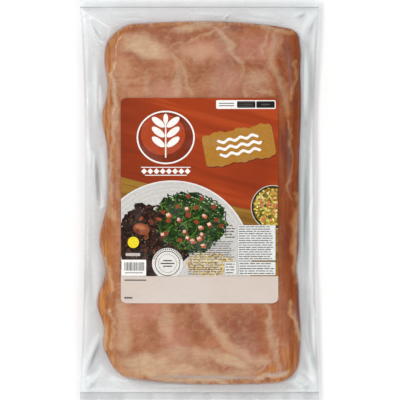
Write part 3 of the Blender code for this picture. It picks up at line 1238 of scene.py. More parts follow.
@dataclass(frozen=True)
class MeatFinish:
    """Smoked, cured belly: pink-brown lean, cream fat and a golden to brown smoked edge."""

    lean_light: Colour = srgb(186, 127, 92)
    lean: Colour = srgb(160, 98, 64)
    lean_deep: Colour = srgb(138, 70, 42)
    pink: Colour = srgb(198, 138, 112)
    lean_warm: Colour = srgb(160, 86, 44)
    fat: Colour = srgb(212, 182, 148)
    fat_shade: Colour = srgb(190, 150, 114)
    fat_smoked: Colour = srgb(206, 150, 90)
    gold: Colour = srgb(202, 134, 64)
    gold_deep: Colour = srgb(156, 84, 34)
    smoke: Colour = srgb(168, 80, 10)
    smoke_deep: Colour = srgb(98, 32, 3)
    patterns: tuple[Pattern, ...] = (
        Pattern("fibre", 1.6, 5.0, 0.66, 0.8, (34, 190, 60), 5),
        Pattern("strand", 1.2, 5.0, 0.65, 0.6, (210, 20, 60)),
        Pattern("cloud", 24, 4.0, 0.6, 0.8),
        Pattern("mottle", 80, 4.0, 0.52, 0.5),
        Pattern("marble", 1.0, 6.0, 0.62, 2.2, (34, 24, 20), 20),
        Pattern("speck", 420, 2.0, 0.7),
    )
    lean_coats: tuple[Coat, ...] = (
        Coat("cloud", Span(0.34, 0.66), lean),
        Coat("right", Span(-0.02, 0.09, 0.0, 0.6), lean_warm),
        Coat("mottle", Span(0.2, 0.6, 0.6, 0.95), pink, MeatKind.PINK),
        Coat("fibre", Span(0.54, 0.76, 0.0, 0.5), lean_deep),
        Coat("mottle", Span(0.5, 0.75, 0.0, 0.25), lean_deep),
        Coat("mottle", Span(0.25, 0.6, 0.4, 0.8), lean_deep, MeatKind.LEAN),
        Coat("marble", Span(0.54, 0.68, 0.0, 0.34), fat_shade),
    )
    veins: tuple[tuple[Pattern, Span], ...] = (
        (Pattern("wide_vein", 1.0, 4.0, 0.5, 0.0, (30, 51, 20), 12), Span(0.25, 0.7, 0.1, 0.15)),
        (Pattern("fine_vein", 1.0, 4.0, 0.5, 0.0, (75, 127.5, 20), 12), Span(0.25, 0.7, 0.1, 0.1)),
    )
    vein_edge: Span = Span(0.03, 0.0)
    gold_coats: tuple[Coat, ...] = (Coat("strand", Span(0.38, 0.64), gold),)
    gold_shade: float = 0.6
    gold_span: Span = Span(0.2, 0.5, 0.8, 1.0)
    smoke_coats: tuple[Coat, ...] = (
        Coat("strand", Span(0.3, 0.75, 0.25, 0.9), smoke),
        Coat("cloud", Span(0.5, 0.7, 0.0, 0.6), smoke_deep),
    )
    smoke_shade: float = 0.7
    smoke_span: Span = Span(0.2, 0.5, 0.85, 1.0)
    fat_coats: tuple[Coat, ...] = (Coat("fibre", Span(0.35, 0.75, 0.0, 0.6), fat_shade),)
    fat_span: Span = Span(0.3, 0.62, 1.0, 0.7)
    speck_span: Span = Span(0.6, 0.78, 0.0, 0.14)
    relief: tuple[tuple[str, float, float], ...] = (
        ("fibre", 0.4 * MM, 0.5), ("mottle", 0.6 * MM, 0.25), ("speck", 0.10 * MM, 0.4),
    )
    roughness: Span = Span(0.3, 0.7, 0.4, 0.55)
    specular: float = 0.08
    glow: float = 0.12
    glow_radius: Point3 = (1.0, 0.4, 0.2)
    glow_depth: float = 3 * MM
    wet: Span = Span(0.0, 1.0, 0.6, 0.1)
    wet_roughness: float = 0.08
    wet_ior: float = 1.3

    def build(self) -> bpy.types.Material:
        """Makes the material.

        Returns:
            The material.
        """
        n = Nodes("cured_meat")
        sources = n.sources(self.patterns)
        colour = n.lay(self.lean_light, sources, self.lean_coats)
        for pattern, cover in self.veins:
            ridge = n.math("PINGPONG", n.math("SUBTRACT", n.noise(pattern), 0.5), 1.0)
            share = n.math("MULTIPLY", n.range(ridge, self.vein_edge), n.range(sources["cloud"], cover))
            colour = n.blend(share, colour, self.fat)
        gold = n.lay(self.gold_deep, sources, self.gold_coats)
        # The lean share, which holds the painted shade of the outermost edge, darkens the gold and the
        # smoked rind.
        gold = n.blend(n.math("MULTIPLY", n.attribute("lean"), self.gold_shade), gold, self.gold_deep)
        smoke = n.lay(self.smoke_deep, sources, self.smoke_coats)
        smoke = n.blend(n.math("MULTIPLY", n.attribute("lean"), self.smoke_shade), smoke, self.smoke_deep)
        fat = n.lay(self.fat, sources, self.fat_coats)
        fat = n.blend(n.attribute("smoke"), fat, self.fat_smoked)
        colour = n.lay(colour, sources, (
            Coat("mottle", self.gold_span, gold, MeatKind.GOLD),
            Coat("mottle", self.smoke_span, smoke, MeatKind.SMOKE),
            Coat("mottle", self.fat_span, fat, MeatKind.FAT),
            Coat("speck", self.speck_span, self.lean_deep),
        ))
        normal = None
        for name, depth, strength in self.relief:
            normal = n.bump(sources[name], depth, strength, normal)
        return n.finish(n.surface(
            Base_Color=colour,
            Roughness=n.range(sources["cloud"], self.roughness),
            Normal=normal,
            Specular_IOR_Level=self.specular,
            Subsurface_Weight=self.glow,
            Subsurface_Radius=self.glow_radius,
            Subsurface_Scale=self.glow_depth,
            Coat_Weight=n.range(n.attribute("smoke"), self.wet),
            Coat_Roughness=self.wet_roughness,
            Coat_IOR=self.wet_ior,
        ))


@dataclass(frozen=True)
class FilmFinish:
    """Clear, see-through film with a pale veil, thickened by milkiness and painted glare, darkened by
    painted shade.
    """

    pale: Colour = srgb(242, 249, 249)
    # The veil's colour where shade is painted.
    painted_shade_grey: Colour = srgb(130, 137, 138)
    clear: Colour = srgb(251, 251, 252)
    roughness: float = 0.18
    ior: float = 1.5
    ripple: Pattern = Pattern("ripple", 60, 2.0, 0.5)
    ripple_depth: float = 0.4 * MM
    ripple_strength: float = 0.3
    ripple_haze: Span = Span(0.5, 0.8, 0.0, 0.012)

    def build(self) -> bpy.types.Material:
        """Makes the material.

        Returns:
            The material.
        """
        n = Nodes("clear_film")
        ripple = n.noise(self.ripple)
        body = n.surface(
            # Painted shade: the veil goes from pale to the darker colour where the piece paints shade.
            Base_Color=n.blend(n.attribute("dusk"), self.pale, self.painted_shade_grey),
            Normal=n.bump(ripple, self.ripple_depth, self.ripple_strength),
            Roughness=self.roughness,
            IOR=self.ior,
        )
        # The veil's share: milkiness, with the glare and highlights that are painted into it.
        share = n.math("ADD", n.attribute("haze"), n.range(ripple, self.ripple_haze))
        return n.finish(n.sheer(share, self.clear, body))


@dataclass(frozen=True)
class PatternFinish:
    """A matt finish: a ground colour, or an attribute's colours, under coats that follow patterns."""

    name: str
    ground: Colour | str
    patterns: tuple[Pattern, ...]
    coats: tuple[Coat, ...]
    roughness: Span
    specular: float = 0.5
    clear: Colour | None = None
    cover: Span = Span(0.0, 1.0)

    def build(self) -> bpy.types.Material:
        """Makes the material; its first pattern sets how rough and how see-through it is.

        Returns:
            The material.
        """
        n = Nodes(self.name)
        sources = n.sources(self.patterns)
        first = sources[self.patterns[0].name]
        ground = n.attribute(self.ground, "Color") if isinstance(self.ground, str) else self.ground
        colour = n.lay(ground, sources, self.coats)
        rough = n.range(first, self.roughness)
        body = n.surface(Base_Color=colour, Roughness=rough, Specular_IOR_Level=self.specular)
        if self.clear is not None:
            body = n.sheer(n.range(first, self.cover), self.clear, body)
        return n.finish(body)


BOARD_DARK = srgb(112, 38, 12)
TABLE_DARK = srgb(94, 60, 20)

BOARD_FINISH = PatternFinish(
    name="printed_board",
    ground=srgb(156, 56, 18),
    patterns=(
        Pattern("grain", 1.0, 4.0, 0.6, 0.3, (10, 260, 10), -15),
        Pattern("planks", 1.0, 3.0, 0.55, 0.25, (5, 62, 5), -15),
        Pattern("wide", 9, 2.0, 0.5),
    ),
    coats=(
        Coat("planks", Span(0.52, 0.62), srgb(172, 66, 26)),
        Coat("planks", Span(0.46, 0.36, 0.0, 0.35), BOARD_DARK),
        Coat("grain", Span(0.55, 0.75, 0.0, 0.35), BOARD_DARK),
        Coat("wide", Span(0.55, 0.3, 0.0, 0.35), BOARD_DARK),
        Coat("right", Span(-30 * MM, -100 * MM, 0.0, 0.5), BOARD_DARK),
    ),
    roughness=Span(0.3, 0.7, 0.42, 0.5),
    specular=0.12,
)
TABLE_FINISH = PatternFinish(
    name="printed_table",
    ground=srgb(154, 112, 44),
    patterns=(
        Pattern("grain", 1.0, 4.0, 0.62, 0.4, (12, 330, 12), -14),
        Pattern("wide", 1.0, 2.0, 0.5, 0.0, (8, 60, 8), -14),
    ),
    coats=(
        Coat("grain", Span(0.4, 0.68), srgb(130, 91, 29)),
        Coat("grain", Span(0.52, 0.7, 0.0, 0.6), TABLE_DARK),
        Coat("wide", Span(0.5, 0.72, 0.0, 0.5), TABLE_DARK),
    ),
    roughness=Span(0.3, 0.7, 0.42, 0.5),
    specular=0.12,
)
BAND_FINISH = PatternFinish(
    name="milky_band",
    ground=srgb(228, 217, 208),
    patterns=(Pattern("fibre", 2.0, 3.0, 0.55, 0.0, (60, 160, 60)), Pattern("cloud", 14, 2.0, 0.5)),
    coats=(Coat("cloud", Span(0.3, 0.7, 0.0, 0.45), srgb(222, 202, 190)),),
    roughness=Span(0.3, 0.7, 0.36, 0.46),
    clear=srgb(255, 250, 246),
    cover=Span(0.2, 0.8, 0.74, 0.78),
)
INK_FINISH = PatternFinish(
    name="printing_ink",
    ground="ink",
    patterns=(Pattern("mottle", 320, 3.0, 0.6), Pattern("wide", 60, 2.0, 0.5)),
    coats=(
        Coat("mottle", Span(0.35, 0.75, 0.0, 0.16), (0.02, 0.015, 0.01)),
        Coat("wide", Span(0.4, 0.8, 0.0, 0.03), (1.0, 0.95, 0.9)),
    ),
    roughness=Span(0.3, 0.7, 0.4, 0.5),
    specular=0.12,
)
FLOOR_FINISH = PatternFinish(
    name="pale_floor",
    ground=(0.93, 0.93, 0.93),
    patterns=(Pattern("mottle", 3.0, 2.0, 0.5),),
    coats=(Coat("mottle", Span(0.3, 0.7, 0.0, 0.5), (0.91, 0.91, 0.91)),),
    roughness=Span(0.3, 0.7, 0.85, 0.9),
)


# The bag of film and the slab of bacon


@dataclass(frozen=True)
class Veil:
    """How milky the film is from place to place, and where light and shade are painted into its veil;
    shares run from 0 to 1.
    """

    haze_slab: float = 0.01
    haze_loose: float = 0.24
    steep_fold_sheen: float = 0.7
    haze_back: float = 0.06
    haze_seal: float = 0.4
    haze_line: float = 0.85
    steepest: float = 0.5
    loose: Ramp = Ramp(3.8, 0.5)
    # Painted glare on the film over the slab.
    glare: float = 0.045
    glare_least: float = 0.2
    glare_cloud: LatticeNoise = LatticeNoise(23, 30 * MM, 1.3, (1.0, 0.3))
    glare_side: Ramp = Ramp(92 * MM, -22 * MM)
    # Painted highlights on the crests of the slab's creases, stronger along its foot.
    crest_highlight: float = 0.12
    foot_highlight_gain: float = 3.5
    foot: Ramp = Ramp(-205 * MM, -8 * MM)
    light_x: float = 0.8
    light_y: float = -0.6
    light_gain: float = 1.7
    at_right: Ramp = Ramp(100 * MM, 20 * MM)
    # Painted shade beside the slab, deeper on the left.
    shade_beside_slab: Bell = Bell(0, 0.22)
    shade_beside_slab_left: float = 0.27
    shade_beside_slab_right: float = 0.05
    rim: Ramp = Ramp(0.8, 0.14)
    rim_side: Ramp = Ramp(115 * MM, 10 * MM)
    rim_painted_shade: float = 0.4
    rim_shade_veil: float = 0.16
    outer: Ramp = Ramp(0.4, 0.25)
    outer_painted_shade: float = 0.42
    outer_shade_veil: float = 0.14
    right_painted_shade: float = -0.28
    right_shadow_lift: float = 0.14
    right_inner: Bell = Bell(0, 0.4)
    painted_shade_least: float = 0.05
    cloud: LatticeNoise = LatticeNoise(24, 26 * MM, 0.12, (1.0, 0.3))
    ends: Ramp = Ramp(205 * MM, 15 * MM)
    ends_painted_shade: float = -0.22
    # Painted shadow line under the slab's foot.
    below: Ramp = Ramp(-205 * MM, -12 * MM)
    below_side: Ramp = Ramp(110 * MM, -55 * MM)
    below_inner: Bell = Bell(0, 0.12)
    under_slab_shadow: float = 0.5
    seal_start: Ramp = Ramp(0, 1 * MM)
    # Painted shade in the groove at each seal's inner edge.
    seal_groove_shade: Bell = Bell(0.9 * MM, 0.6 * MM)
    seal_streaks: LatticeNoise = LatticeNoise(22, 9 * MM, 0.5, (1.0, 0.15))
    # Painted shade on the seals, light on the top one and deeper on the bottom one, in streaks.
    top_seal_shade: Point2 = (0.0, 0.1)
    bottom_seal_shade: Point2 = (0.35, 0.4)

    def over_slab(self, x: Values, y: Values, relief: Relief) -> Values:
        """How milky the film on the slab is: painted glare, and painted highlights on its creases' crests.

        Args:
            x: Places along X.
            y: Places along Y.
            relief: The relief, which knows where the label covers the film.

        Returns:
            The haze at each place.
        """
        glare = smooth(self.glare_least + self.glare_cloud.sample(x, y)) * self.glare
        glare *= self.glare_side.at(np.abs(x))
        # Painted highlights on the crests of the slab's creases, stronger along its foot.
        drawn = np.clip(fold_heights(x, y, SLAB_FOLDS) / MM, 0, 1) * self.crest_highlight
        drawn *= 1 + self.foot_highlight_gain * self.foot.at(y)
        return self.haze_slab + (glare + drawn) * relief.off_label(x, y)

    def front(self, x: Values, y: Values, sheet: SheetPlaces, relief: Relief) -> tuple[Values, Values]:
        """How milky the front sheet is, with painted sheen and glare, and the shade painted into its veil.

        Args:
            x: Places along X.
            y: Places along Y.
            sheet: The places' rings and shares.
            relief: The film's relief; slopes that face away from the light get more painted shade.

        Returns:
            The share of light that the film keeps, with painted sheen and glare in it, and its painted
            shade.
        """
        loose = self.loose.at(sheet.rings)
        share = np.clip(sheet.share, 0, 1)
        rise_x, rise_y = relief.lean(x, y, share)
        facing = self.light_x * rise_x + self.light_y * rise_y
        steep = np.clip(np.hypot(rise_x, rise_y), 0, self.steepest)
        # Painted sheen: steep folds of the loose film take more of the veil.
        haze = mix(self.over_slab(x, y, relief), self.haze_loose + self.steep_fold_sheen * steep, loose)
        at_right = self.at_right.at(x)
        rim = self.rim.at(share) * self.rim_side.at(np.abs(x))
        outer = at_right * self.outer.at(share)
        # Painted: more veil along the bag's rim and the right's outer band, and near the slab on the right
        # to lift its shadow.
        haze += loose * (self.rim_shade_veil * rim + self.outer_shade_veil * outer)
        haze += loose * self.right_shadow_lift * at_right * self.right_inner.at(share)
        # Painted shade: more on slopes facing away from the light, beside the slab, under its foot and
        # along the rim.
        dusk = self.painted_shade_least + self.outer_painted_shade * outer + self.right_painted_shade * at_right
        # Less painted shade towards the ends, and on the right except its outer band; soft clouds of it all
        # over.
        dusk += self.ends_painted_shade * self.ends.at(np.abs(y))
        dusk += self.under_slab_shadow * self.below_inner.at(share) * self.below.at(y) * self.below_side.at(x)
        dusk += self.cloud.sample(x, y) + self.rim_painted_shade * rim - self.light_gain * facing
        dusk += mix(self.shade_beside_slab_left, self.shade_beside_slab_right, at_right) * self.shade_beside_slab.at(share)
        return haze, np.clip(dusk, 0, 1)

    def in_seal(
        self, x: Values, y: Values, past: Values, veil: tuple[Values, Values]
    ) -> tuple[Values, Values]:
        """Adds the seals, milky and with painted shade, deepest on the bottom seal and in the groove at
        their inner edges.

        Args:
            x: Places along X.
            y: Places along Y.
            past: How far each place is past a seal's inner edge.
            veil: How milky the film is without seals, and its painted shade.

        Returns:
            How milky the film is with the seals, and its painted shade.
        """
        share = self.seal_start.at(past)
        streak = 0.5 + self.seal_streaks.sample(x, y)
        top = self.top_seal_shade[0] + self.top_seal_shade[1] * streak
        bottom = self.bottom_seal_shade[0] + self.bottom_seal_shade[1] * streak
        haze = mix(veil[0], self.haze_seal, share)
        # Painted shade on the seals, in streaks.
        dusk = mix(veil[1], np.where(y > 0, top, bottom), share)
        # Full painted shade in the groove at each seal's inner edge.
        line = self.seal_groove_shade.at(past)
        return mix(haze, self.haze_line, line), mix(dusk, 1.0, line)


@dataclass
class WrappedPiece:
    """A closed pair of fine sheets on the form that the bag and the slab share."""

    form: BagForm
    relief: Relief = Relief()

    def wrap(self, grid: SheetGrid) -> Piece:
        """Models the sheets and stores their values for the material.

        Args:
            grid: The sheets' grid.

        Returns:
            The piece, smooth and without a material.
        """
        piece = grid.build()
        flat = vertex_places(piece)
        column, row = grid.form_places(self.form, flat)
        places = np.zeros_like(flat)
        values: dict[str, Values] = {}
        for side in Side:
            chosen = flat[:, 2] * side.value > 0
            sheet = self.form.sheet(column[chosen], row[chosen], side)
            places[chosen] = self.raised(sheet, side)
            for name, found in self.values_at(places[chosen], sheet, side).items():
                values.setdefault(name, np.zeros(len(flat)))[chosen] = found
        move_vertices(piece, places)
        for name, found in values.items():
            set_values(piece, name, found)
        make_active(piece)
        bpy.ops.object.shade_smooth()
        return piece

    def raised(self, sheet: SheetPlaces, side: Side) -> Values:
        """The places of a sheet with its relief."""
        raise NotImplementedError

    def values_at(self, places: Values, sheet: SheetPlaces, side: Side) -> dict[str, Values]:
        """What the material reads at each vertex, by the attribute's name."""
        raise NotImplementedError


@dataclass
class FilmBag(WrappedPiece):
    """The clear bag: a closed envelope on the slab, with loose creased film and a seal at each end."""

    grid: SheetGrid = SheetGrid(38, 78, 20, 28, 12)
    veil: Veil = Veil()
    back_folds: float = 0.85
    back_seal: float = 0.9
    lowest: float = 0.15 * MM

    def build(self) -> Piece:
        """Models the bag.

        Returns:
            The bag's piece.
        """
        piece = self.wrap(self.grid)
        piece.data.materials.append(FilmFinish().build())
        finish_piece(piece, "film_bag", BAG_NODE)
        return piece

    def past_seal(self, y: Values) -> Values:
        """How far each place is past a seal's inner edge."""
        return np.abs(y) - (self.form.length / 2 - self.form.seal_width)

    def raised(self, sheet: SheetPlaces, side: Side) -> Values:
        """Adds folds, creases and seals to a sheet.

        Args:
            sheet: The sheet's places, rings and shares.
            side: Which sheet.

        Returns:
            The places with their relief.
        """
        x, y, z = sheet.places.T
        seals = self.relief.seal(self.past_seal(y))
        folds = self.relief.film(x, y, np.clip(sheet.share, 0, 1))
        if side is Side.FRONT:
            raised = z + (folds + seals) + self.relief.slab(x, y, sheet.rings)
        else:
            raised = z + self.back_folds * (folds + self.back_seal * seals)
            raised = np.maximum(raised, np.minimum(z, self.lowest))
        return np.stack((x, y, raised), axis=1)

    def values_at(self, places: Values, sheet: SheetPlaces, side: Side) -> dict[str, Values]:
        """How milky the film is at each vertex, with painted glare, and the shade painted into its veil.

        Args:
            places: The places with their relief.
            sheet: The sheet's rings and shares.
            side: Which sheet.

        Returns:
            How milky the film is, and its painted shade.
        """
        x, y, _ = places.T
        veil = self.veil.front(x, y, sheet, self.relief)
        haze, dusk = self.veil.in_seal(x, y, self.past_seal(y), veil)
        if side is Side.BACK:
            haze = mix(self.veil.haze_slab, self.veil.haze_back, self.veil.loose.at(sheet.rings))
        return {"haze": haze, "dusk": dusk}


@dataclass
class BaconSlab(WrappedPiece):
    """The slab of smoked bacon, just inside the film, with its fat, lean and smoked rind."""

    grid: SheetGrid = SheetGrid(54, 112, 28)
    depth: float = 0.45 * MM
    shrink_x: float = 0.995
    shrink_y: float = 0.9975
    wanders: tuple[tuple[LatticeNoise, LatticeNoise], ...] = (
        (LatticeNoise(31, 14 * MM, 3.4 * MM), LatticeNoise(35, 14 * MM, 3.4 * MM)),
        (LatticeNoise(32, 6 * MM, 1.9 * MM), LatticeNoise(36, 6 * MM, 1.9 * MM)),
        (LatticeNoise(33, 2.7 * MM, 1.0 * MM), LatticeNoise(37, 2.7 * MM, 1.0 * MM)),
    )
    low: Ramp = Ramp(30 * MM, -12 * MM)
    rim_wander: LatticeNoise = LatticeNoise(38, 9 * MM, 0.5)
    rim_left: float = 0.5
    rim_right: float = 1.2
    rim_strength: float = 0.9
    right: Ramp = Ramp(60 * MM, 40 * MM)
    above_foot: Ramp = Ramp(-195 * MM, 50 * MM)
    # Painted shade along the slab's outermost edge, where its side turns under.
    outermost: Ramp = Ramp(3.0, 0.8)
    outermost_shade: float = 0.75

    def build(self) -> Piece:
        """Models the slab.

        Returns:
            The slab's piece.
        """
        piece = self.wrap(self.grid)
        piece.data.materials.append(MeatFinish().build())
        finish_piece(piece, "bacon_slab", BAG_NODE)
        return piece

    def raised(self, sheet: SheetPlaces, side: Side) -> Values:
        """Puts a sheet just inside the film.

        Args:
            sheet: The sheet's places, rings and shares.
            side: Which sheet.

        Returns:
            The places with their relief.
        """
        x, y, z = sheet.places.T
        if side is Side.FRONT:
            raised = z + self.relief.slab(x, y, sheet.rings) - self.depth
        else:
            raised = z + self.depth
        return np.stack((x * self.shrink_x, y * self.shrink_y, raised), axis=1)

    def values_at(self, places: Values, sheet: SheetPlaces, side: Side) -> dict[str, Values]:
        """How fat, lean and smoked the slab is at each vertex, with painted shade along its outermost edge.

        Args:
            places: The places with their relief.
            sheet: The sheet's rings.
            side: Which sheet; not used, as both are alike.

        Returns:
            The share of each kind of meat.
        """
        x, y, z = places.T
        spread_x = (x + sum(across.sample(x, y) for across, _ in self.wanders)) / MM
        spread_y = (y + sum(along.sample(x, y) for _, along in self.wanders)) / MM
        shares = {kind: np.zeros(len(places)) for kind in MeatKind}
        for kind in MeatKind:
            marks = [Field(*row) for row in MEAT_FIELDS.get(kind, ())]
            marks += [Streak(*row) for row in MEAT_STREAKS.get(kind, ())]
            for mark in marks:
                shares[kind] = np.maximum(shares[kind], mark.share_at(spread_x, spread_y))
        rings = sheet.rings + self.rim_wander.sample(x, y)
        to_right = self.right.at(x) * self.above_foot.at(y)
        rim = self.rim_strength * smooth(rings - mix(self.rim_left, self.rim_right, to_right))
        low = np.maximum(self.low.at(z), rim)
        added = {
            MeatKind.SMOKE: low * to_right,
            MeatKind.GOLD: low * (1 - to_right),
            # Painted shade: the outermost edge, where the side turns under, is darkened through the lean
            # share, over the rind's own darker tone.
            MeatKind.LEAN: self.outermost_shade * self.outermost.at(rings),
        }
        for kind, share in added.items():
            shares[kind] = np.maximum(shares[kind], share)
        return {kind.value: share for kind, share in shares.items()}


# The label and what is printed on it


def drape(piece: Piece, ground: Piece, gap: float, thickness: float) -> None:
    """Drops a flat piece straight down on what carries it and gives it a thickness upwards.

    Args:
        piece: The flat piece, above the ground.
        ground: What it lies on.
        gap: How far above the ground its underside is.
        thickness: Its thickness.
    """
    apply_modifier(
        piece,
        "SHRINKWRAP",
        target=ground,
        wrap_method="PROJECT",
        use_project_z=True,
        use_negative_direction=True,
        use_positive_direction=False,
    )
    places = vertex_places(piece)
    places[:, 2] += gap
    move_vertices(piece, places)
    apply_modifier(piece, "SOLIDIFY", thickness=thickness, offset=1.0)


@dataclass
class LabelSheet:
    """The label itself: a thin sheet with round corners and three printed fields."""

    width: float = 195 * MM
    top: float = 126.5 * MM
    bottom: float = -128 * MM
    radius: float = 7 * MM
    thickness: float = 0.4 * MM
    gap: float = 0.3 * MM
    start_height: float = 80 * MM
    cell: float = 3 * MM
    row: float = 1.4 * MM
    board_left: float = 28.8 * MM
    board_fall: float = 0.258
    band_top: float = -94.4 * MM
    crease_angle: float = 35

    def build(self, ground: Piece) -> Piece:
        """Models the label on the film.

        Args:
            ground: The bag that it lies on.

        Returns:
            The label's piece.
        """
        length = self.top - self.bottom
        middle = (self.top + self.bottom) / 2
        cells = (round(self.width / self.cell), round(length / self.row))
        piece = add_grid((0, middle, self.start_height), (self.width, length), cells)
        apply_place(piece)
        places = vertex_places(piece)
        off_end = length / 2 - np.abs(places[:, 1] - middle)
        cut = corner_cut(self.radius - off_end, self.radius, 1.0)
        places[:, 0] *= 1 - cut / (self.width / 2)
        move_vertices(piece, places)
        bisect(piece, ((-self.width / 2, self.board_left, 0), (self.board_fall, 1, 0)))
        bisect(piece, ((0, self.band_top, 0), (0, 1, 0)))
        self.dress(piece)
        drape(piece, ground, self.gap, self.thickness)
        make_active(piece)
        bpy.ops.object.shade_smooth_by_angle(angle=math.radians(self.crease_angle))
        finish_piece(piece, "label_sheet", LABEL_NODE)
        return piece

    def dress(self, piece: Piece) -> None:
        """Gives the board, the table and the foot their own finishes.

        Args:
            piece: The label, still flat.
        """
        for finish in (BOARD_FINISH, TABLE_FINISH, BAND_FINISH):
            piece.data.materials.append(finish.build())
        for face in piece.data.polygons:
            x, y, _ = face.center
            if y < self.band_top:
                face.material_index = 2
            elif y < self.board_left - self.board_fall * (x + self.width / 2):
                face.material_index = 1


@dataclass
class PrintedShapes:
    """One layer's printed shapes: made flat above the label, painted, joined and draped on it.

    Its sizes, and those of all printed shapes, are in millimetres.
    """

    name: str
    lift: float
    thickness: float = 0.03
    height: float = 80
    left: float = -97.3
    right: float = 97.3
    bottom: float = -94.2
    parts: list[Piece] = field(default_factory=list)

    def at(self, centre: Point2) -> Point3:
        """A place in the layer, in metres."""
        return (centre[0] * MM, centre[1] * MM, self.height * MM)

    def keep(self, piece: Piece, colour: Colour, is_cut: bool = False) -> None:
        """Paints a shape in one colour and keeps it for this layer.

        Args:
            piece: The shape.
            colour: Its ink.
            is_cut: Whether the label's sides and foot cut it off.
        """
        apply_place(piece)
        ink = piece.data.attributes.new("ink", "FLOAT_COLOR", "FACE")
        ink.data.foreach_set("color", np.tile((*colour, 1.0), len(piece.data.polygons)))
        self.parts.append(piece)
        if is_cut:
            bisect(piece, ((self.left * MM, 0, 0), (-1, 0, 0)), clear_outer=True)
            bisect(piece, ((self.right * MM, 0, 0), (1, 0, 0)), clear_outer=True)
            bisect(piece, ((0, self.bottom * MM, 0), (0, -1, 0)), clear_outer=True)

    def scatter(self, pattern: Values, places: Values, colours: Values) -> None:
        """Lays many small copies of one outline, each with its own place, turn, size and ink.

        Args:
            pattern: The outline's points, one row of x and y each, about the origin.
            places: One row for each copy: x, y, turn in radians, length and width.
            colours: One linear colour for each copy.
        """
        middle_x, middle_y, turn, length, width = (column[:, None] for column in places.T)
        along, across = pattern[None, :, 0] * length, pattern[None, :, 1] * width
        x = np.clip(middle_x + along * np.cos(turn) - across * np.sin(turn), self.left, self.right)
        y = np.maximum(middle_y + along * np.sin(turn) + across * np.cos(turn), self.bottom)
        points = np.stack((x, y, np.full_like(x, self.height)), axis=2).reshape(-1, 3) * MM
        faces = np.arange(len(points)).reshape(-1, len(pattern))
        mesh = bpy.data.meshes.new(self.name + "_copies")
        mesh.from_pydata(points.tolist(), [], faces.tolist())
        piece = bpy.data.objects.new(self.name + "_copies", mesh)
        bpy.context.collection.objects.link(piece)
        ink = mesh.attributes.new("ink", "FLOAT_COLOR", "FACE")
        ink.data.foreach_set("color", np.column_stack((colours, np.ones(len(colours)))).ravel())
        self.parts.append(piece)

    def build(self, ground: Piece, ink: bpy.types.Material) -> None:
        """Joins the layer's shapes and drapes them on the label.

        Args:
            ground: The label.
            ink: The printing ink.
        """
        for part in self.parts:
            part.data.materials.clear()
        make_active(self.parts[0])
        for part in self.parts[1:]:
            part.select_set(True)
        if len(self.parts) > 1:
            bpy.ops.object.join()
        piece = self.parts[0]
        piece.data.materials.append(ink)
        drape(piece, ground, self.lift * MM, self.thickness * MM)
        finish_piece(piece, self.name)


class Layer(Enum):
    """The layers of print on the label; the value is how high each lies, in millimetres."""

    GROUND = 0.05
    FORM = 0.10
    DETAIL = 0.15
    FOOD = 0.20
    SIDE = 0.25
    TOP = 0.30
    BOX = 0.35
    MARK = 0.40


Layers = dict[Layer, PrintedShapes]

DISC_CELL = 7
WIDEST_PLAIN_DISC = 12
PANEL_CELL = 6
CORNER_REACH = 0.01
CORNER_STEPS = 4
BANNER_CELL = (1.6, 8)


class Disc(NamedTuple):
    """A printed disc or ellipse; the squash is its radius along its own Y as a share."""

    layer: Layer
    centre: Point2
    radius: float
    ink: Colour
    sides: int = 72
    squash: float = 1.0
    turn: float = 0.0
    is_cut: bool = False

    def add_to(self, layers: Layers) -> None:
        """Adds it to its layer.

        Args:
            layers: The layers of print.
        """
        place, circle = layers[self.layer].at(self.centre), bpy.ops.mesh.primitive_circle_add
        size = {"vertices": self.sides, "radius": self.radius * MM}
        piece = add_shape(circle, place, self.turn, fill_type="TRIFAN", **size)
        piece.scale = (1, self.squash, 1)
        apply_place(piece)
        if self.radius > WIDEST_PLAIN_DISC:
            start_edit(piece)
            bpy.ops.mesh.subdivide(number_cuts=round(self.radius / DISC_CELL))
            end_edit()
        layers[self.layer].keep(piece, self.ink, self.is_cut)


class Ring(NamedTuple):
    """A printed circular line; the radius is its outer one."""

    layer: Layer
    centre: Point2
    radius: float
    width: float
    ink: Colour
    sides: int = 64
    is_cut: bool = False

    def add_to(self, layers: Layers) -> None:
        """Adds it to its layer.

        Args:
            layers: The layers of print.
        """
        place, circle = layers[self.layer].at(self.centre), bpy.ops.mesh.primitive_circle_add
        share = (self.radius - self.width) / self.radius
        piece = add_shape(circle, place, vertices=self.sides, radius=self.radius * MM, fill_type="NOTHING")
        apply_place(piece)
        start_edit(piece)
        bpy.ops.mesh.extrude_region_move()
        bpy.ops.transform.resize(value=(share, share, 1), center_override=place)
        bpy.ops.mesh.select_all(action="SELECT")
        bpy.ops.mesh.normals_make_consistent(inside=False)
        end_edit()
        if piece.data.polygons[0].normal.z < 0:
            start_edit(piece)
            bpy.ops.mesh.flip_normals()
            end_edit()
        layers[self.layer].keep(piece, self.ink, self.is_cut)


class Panel(NamedTuple):
    """A printed rectangle, with round corners if it has a radius."""

    layer: Layer
    centre: Point2
    size: Point2
    ink: Colour
    radius: float = 0.0
    turn: float = 0.0

    def add_to(self, layers: Layers) -> None:
        """Adds it to its layer.

        Args:
            layers: The layers of print.
        """
        width, height = self.size[0] * MM, self.size[1] * MM
        cells = (math.ceil(width / (PANEL_CELL * MM)), math.ceil(height / (PANEL_CELL * MM)))
        piece = add_grid(layers[self.layer].at(self.centre), (width, height), cells, self.turn)
        if self.radius > 0:
            half_x, half_y = width / 2 - CORNER_REACH * MM, height / 2 - CORNER_REACH * MM
            select_vertices(piece, lambda at: (np.abs(at[:, 0]) > half_x) & (np.abs(at[:, 1]) > half_y))
            make_active(piece)
            bpy.ops.object.mode_set(mode="EDIT")
            bpy.ops.mesh.bevel(offset=self.radius * MM, segments=CORNER_STEPS, affect="VERTICES")
            end_edit()
        layers[self.layer].keep(piece, self.ink)


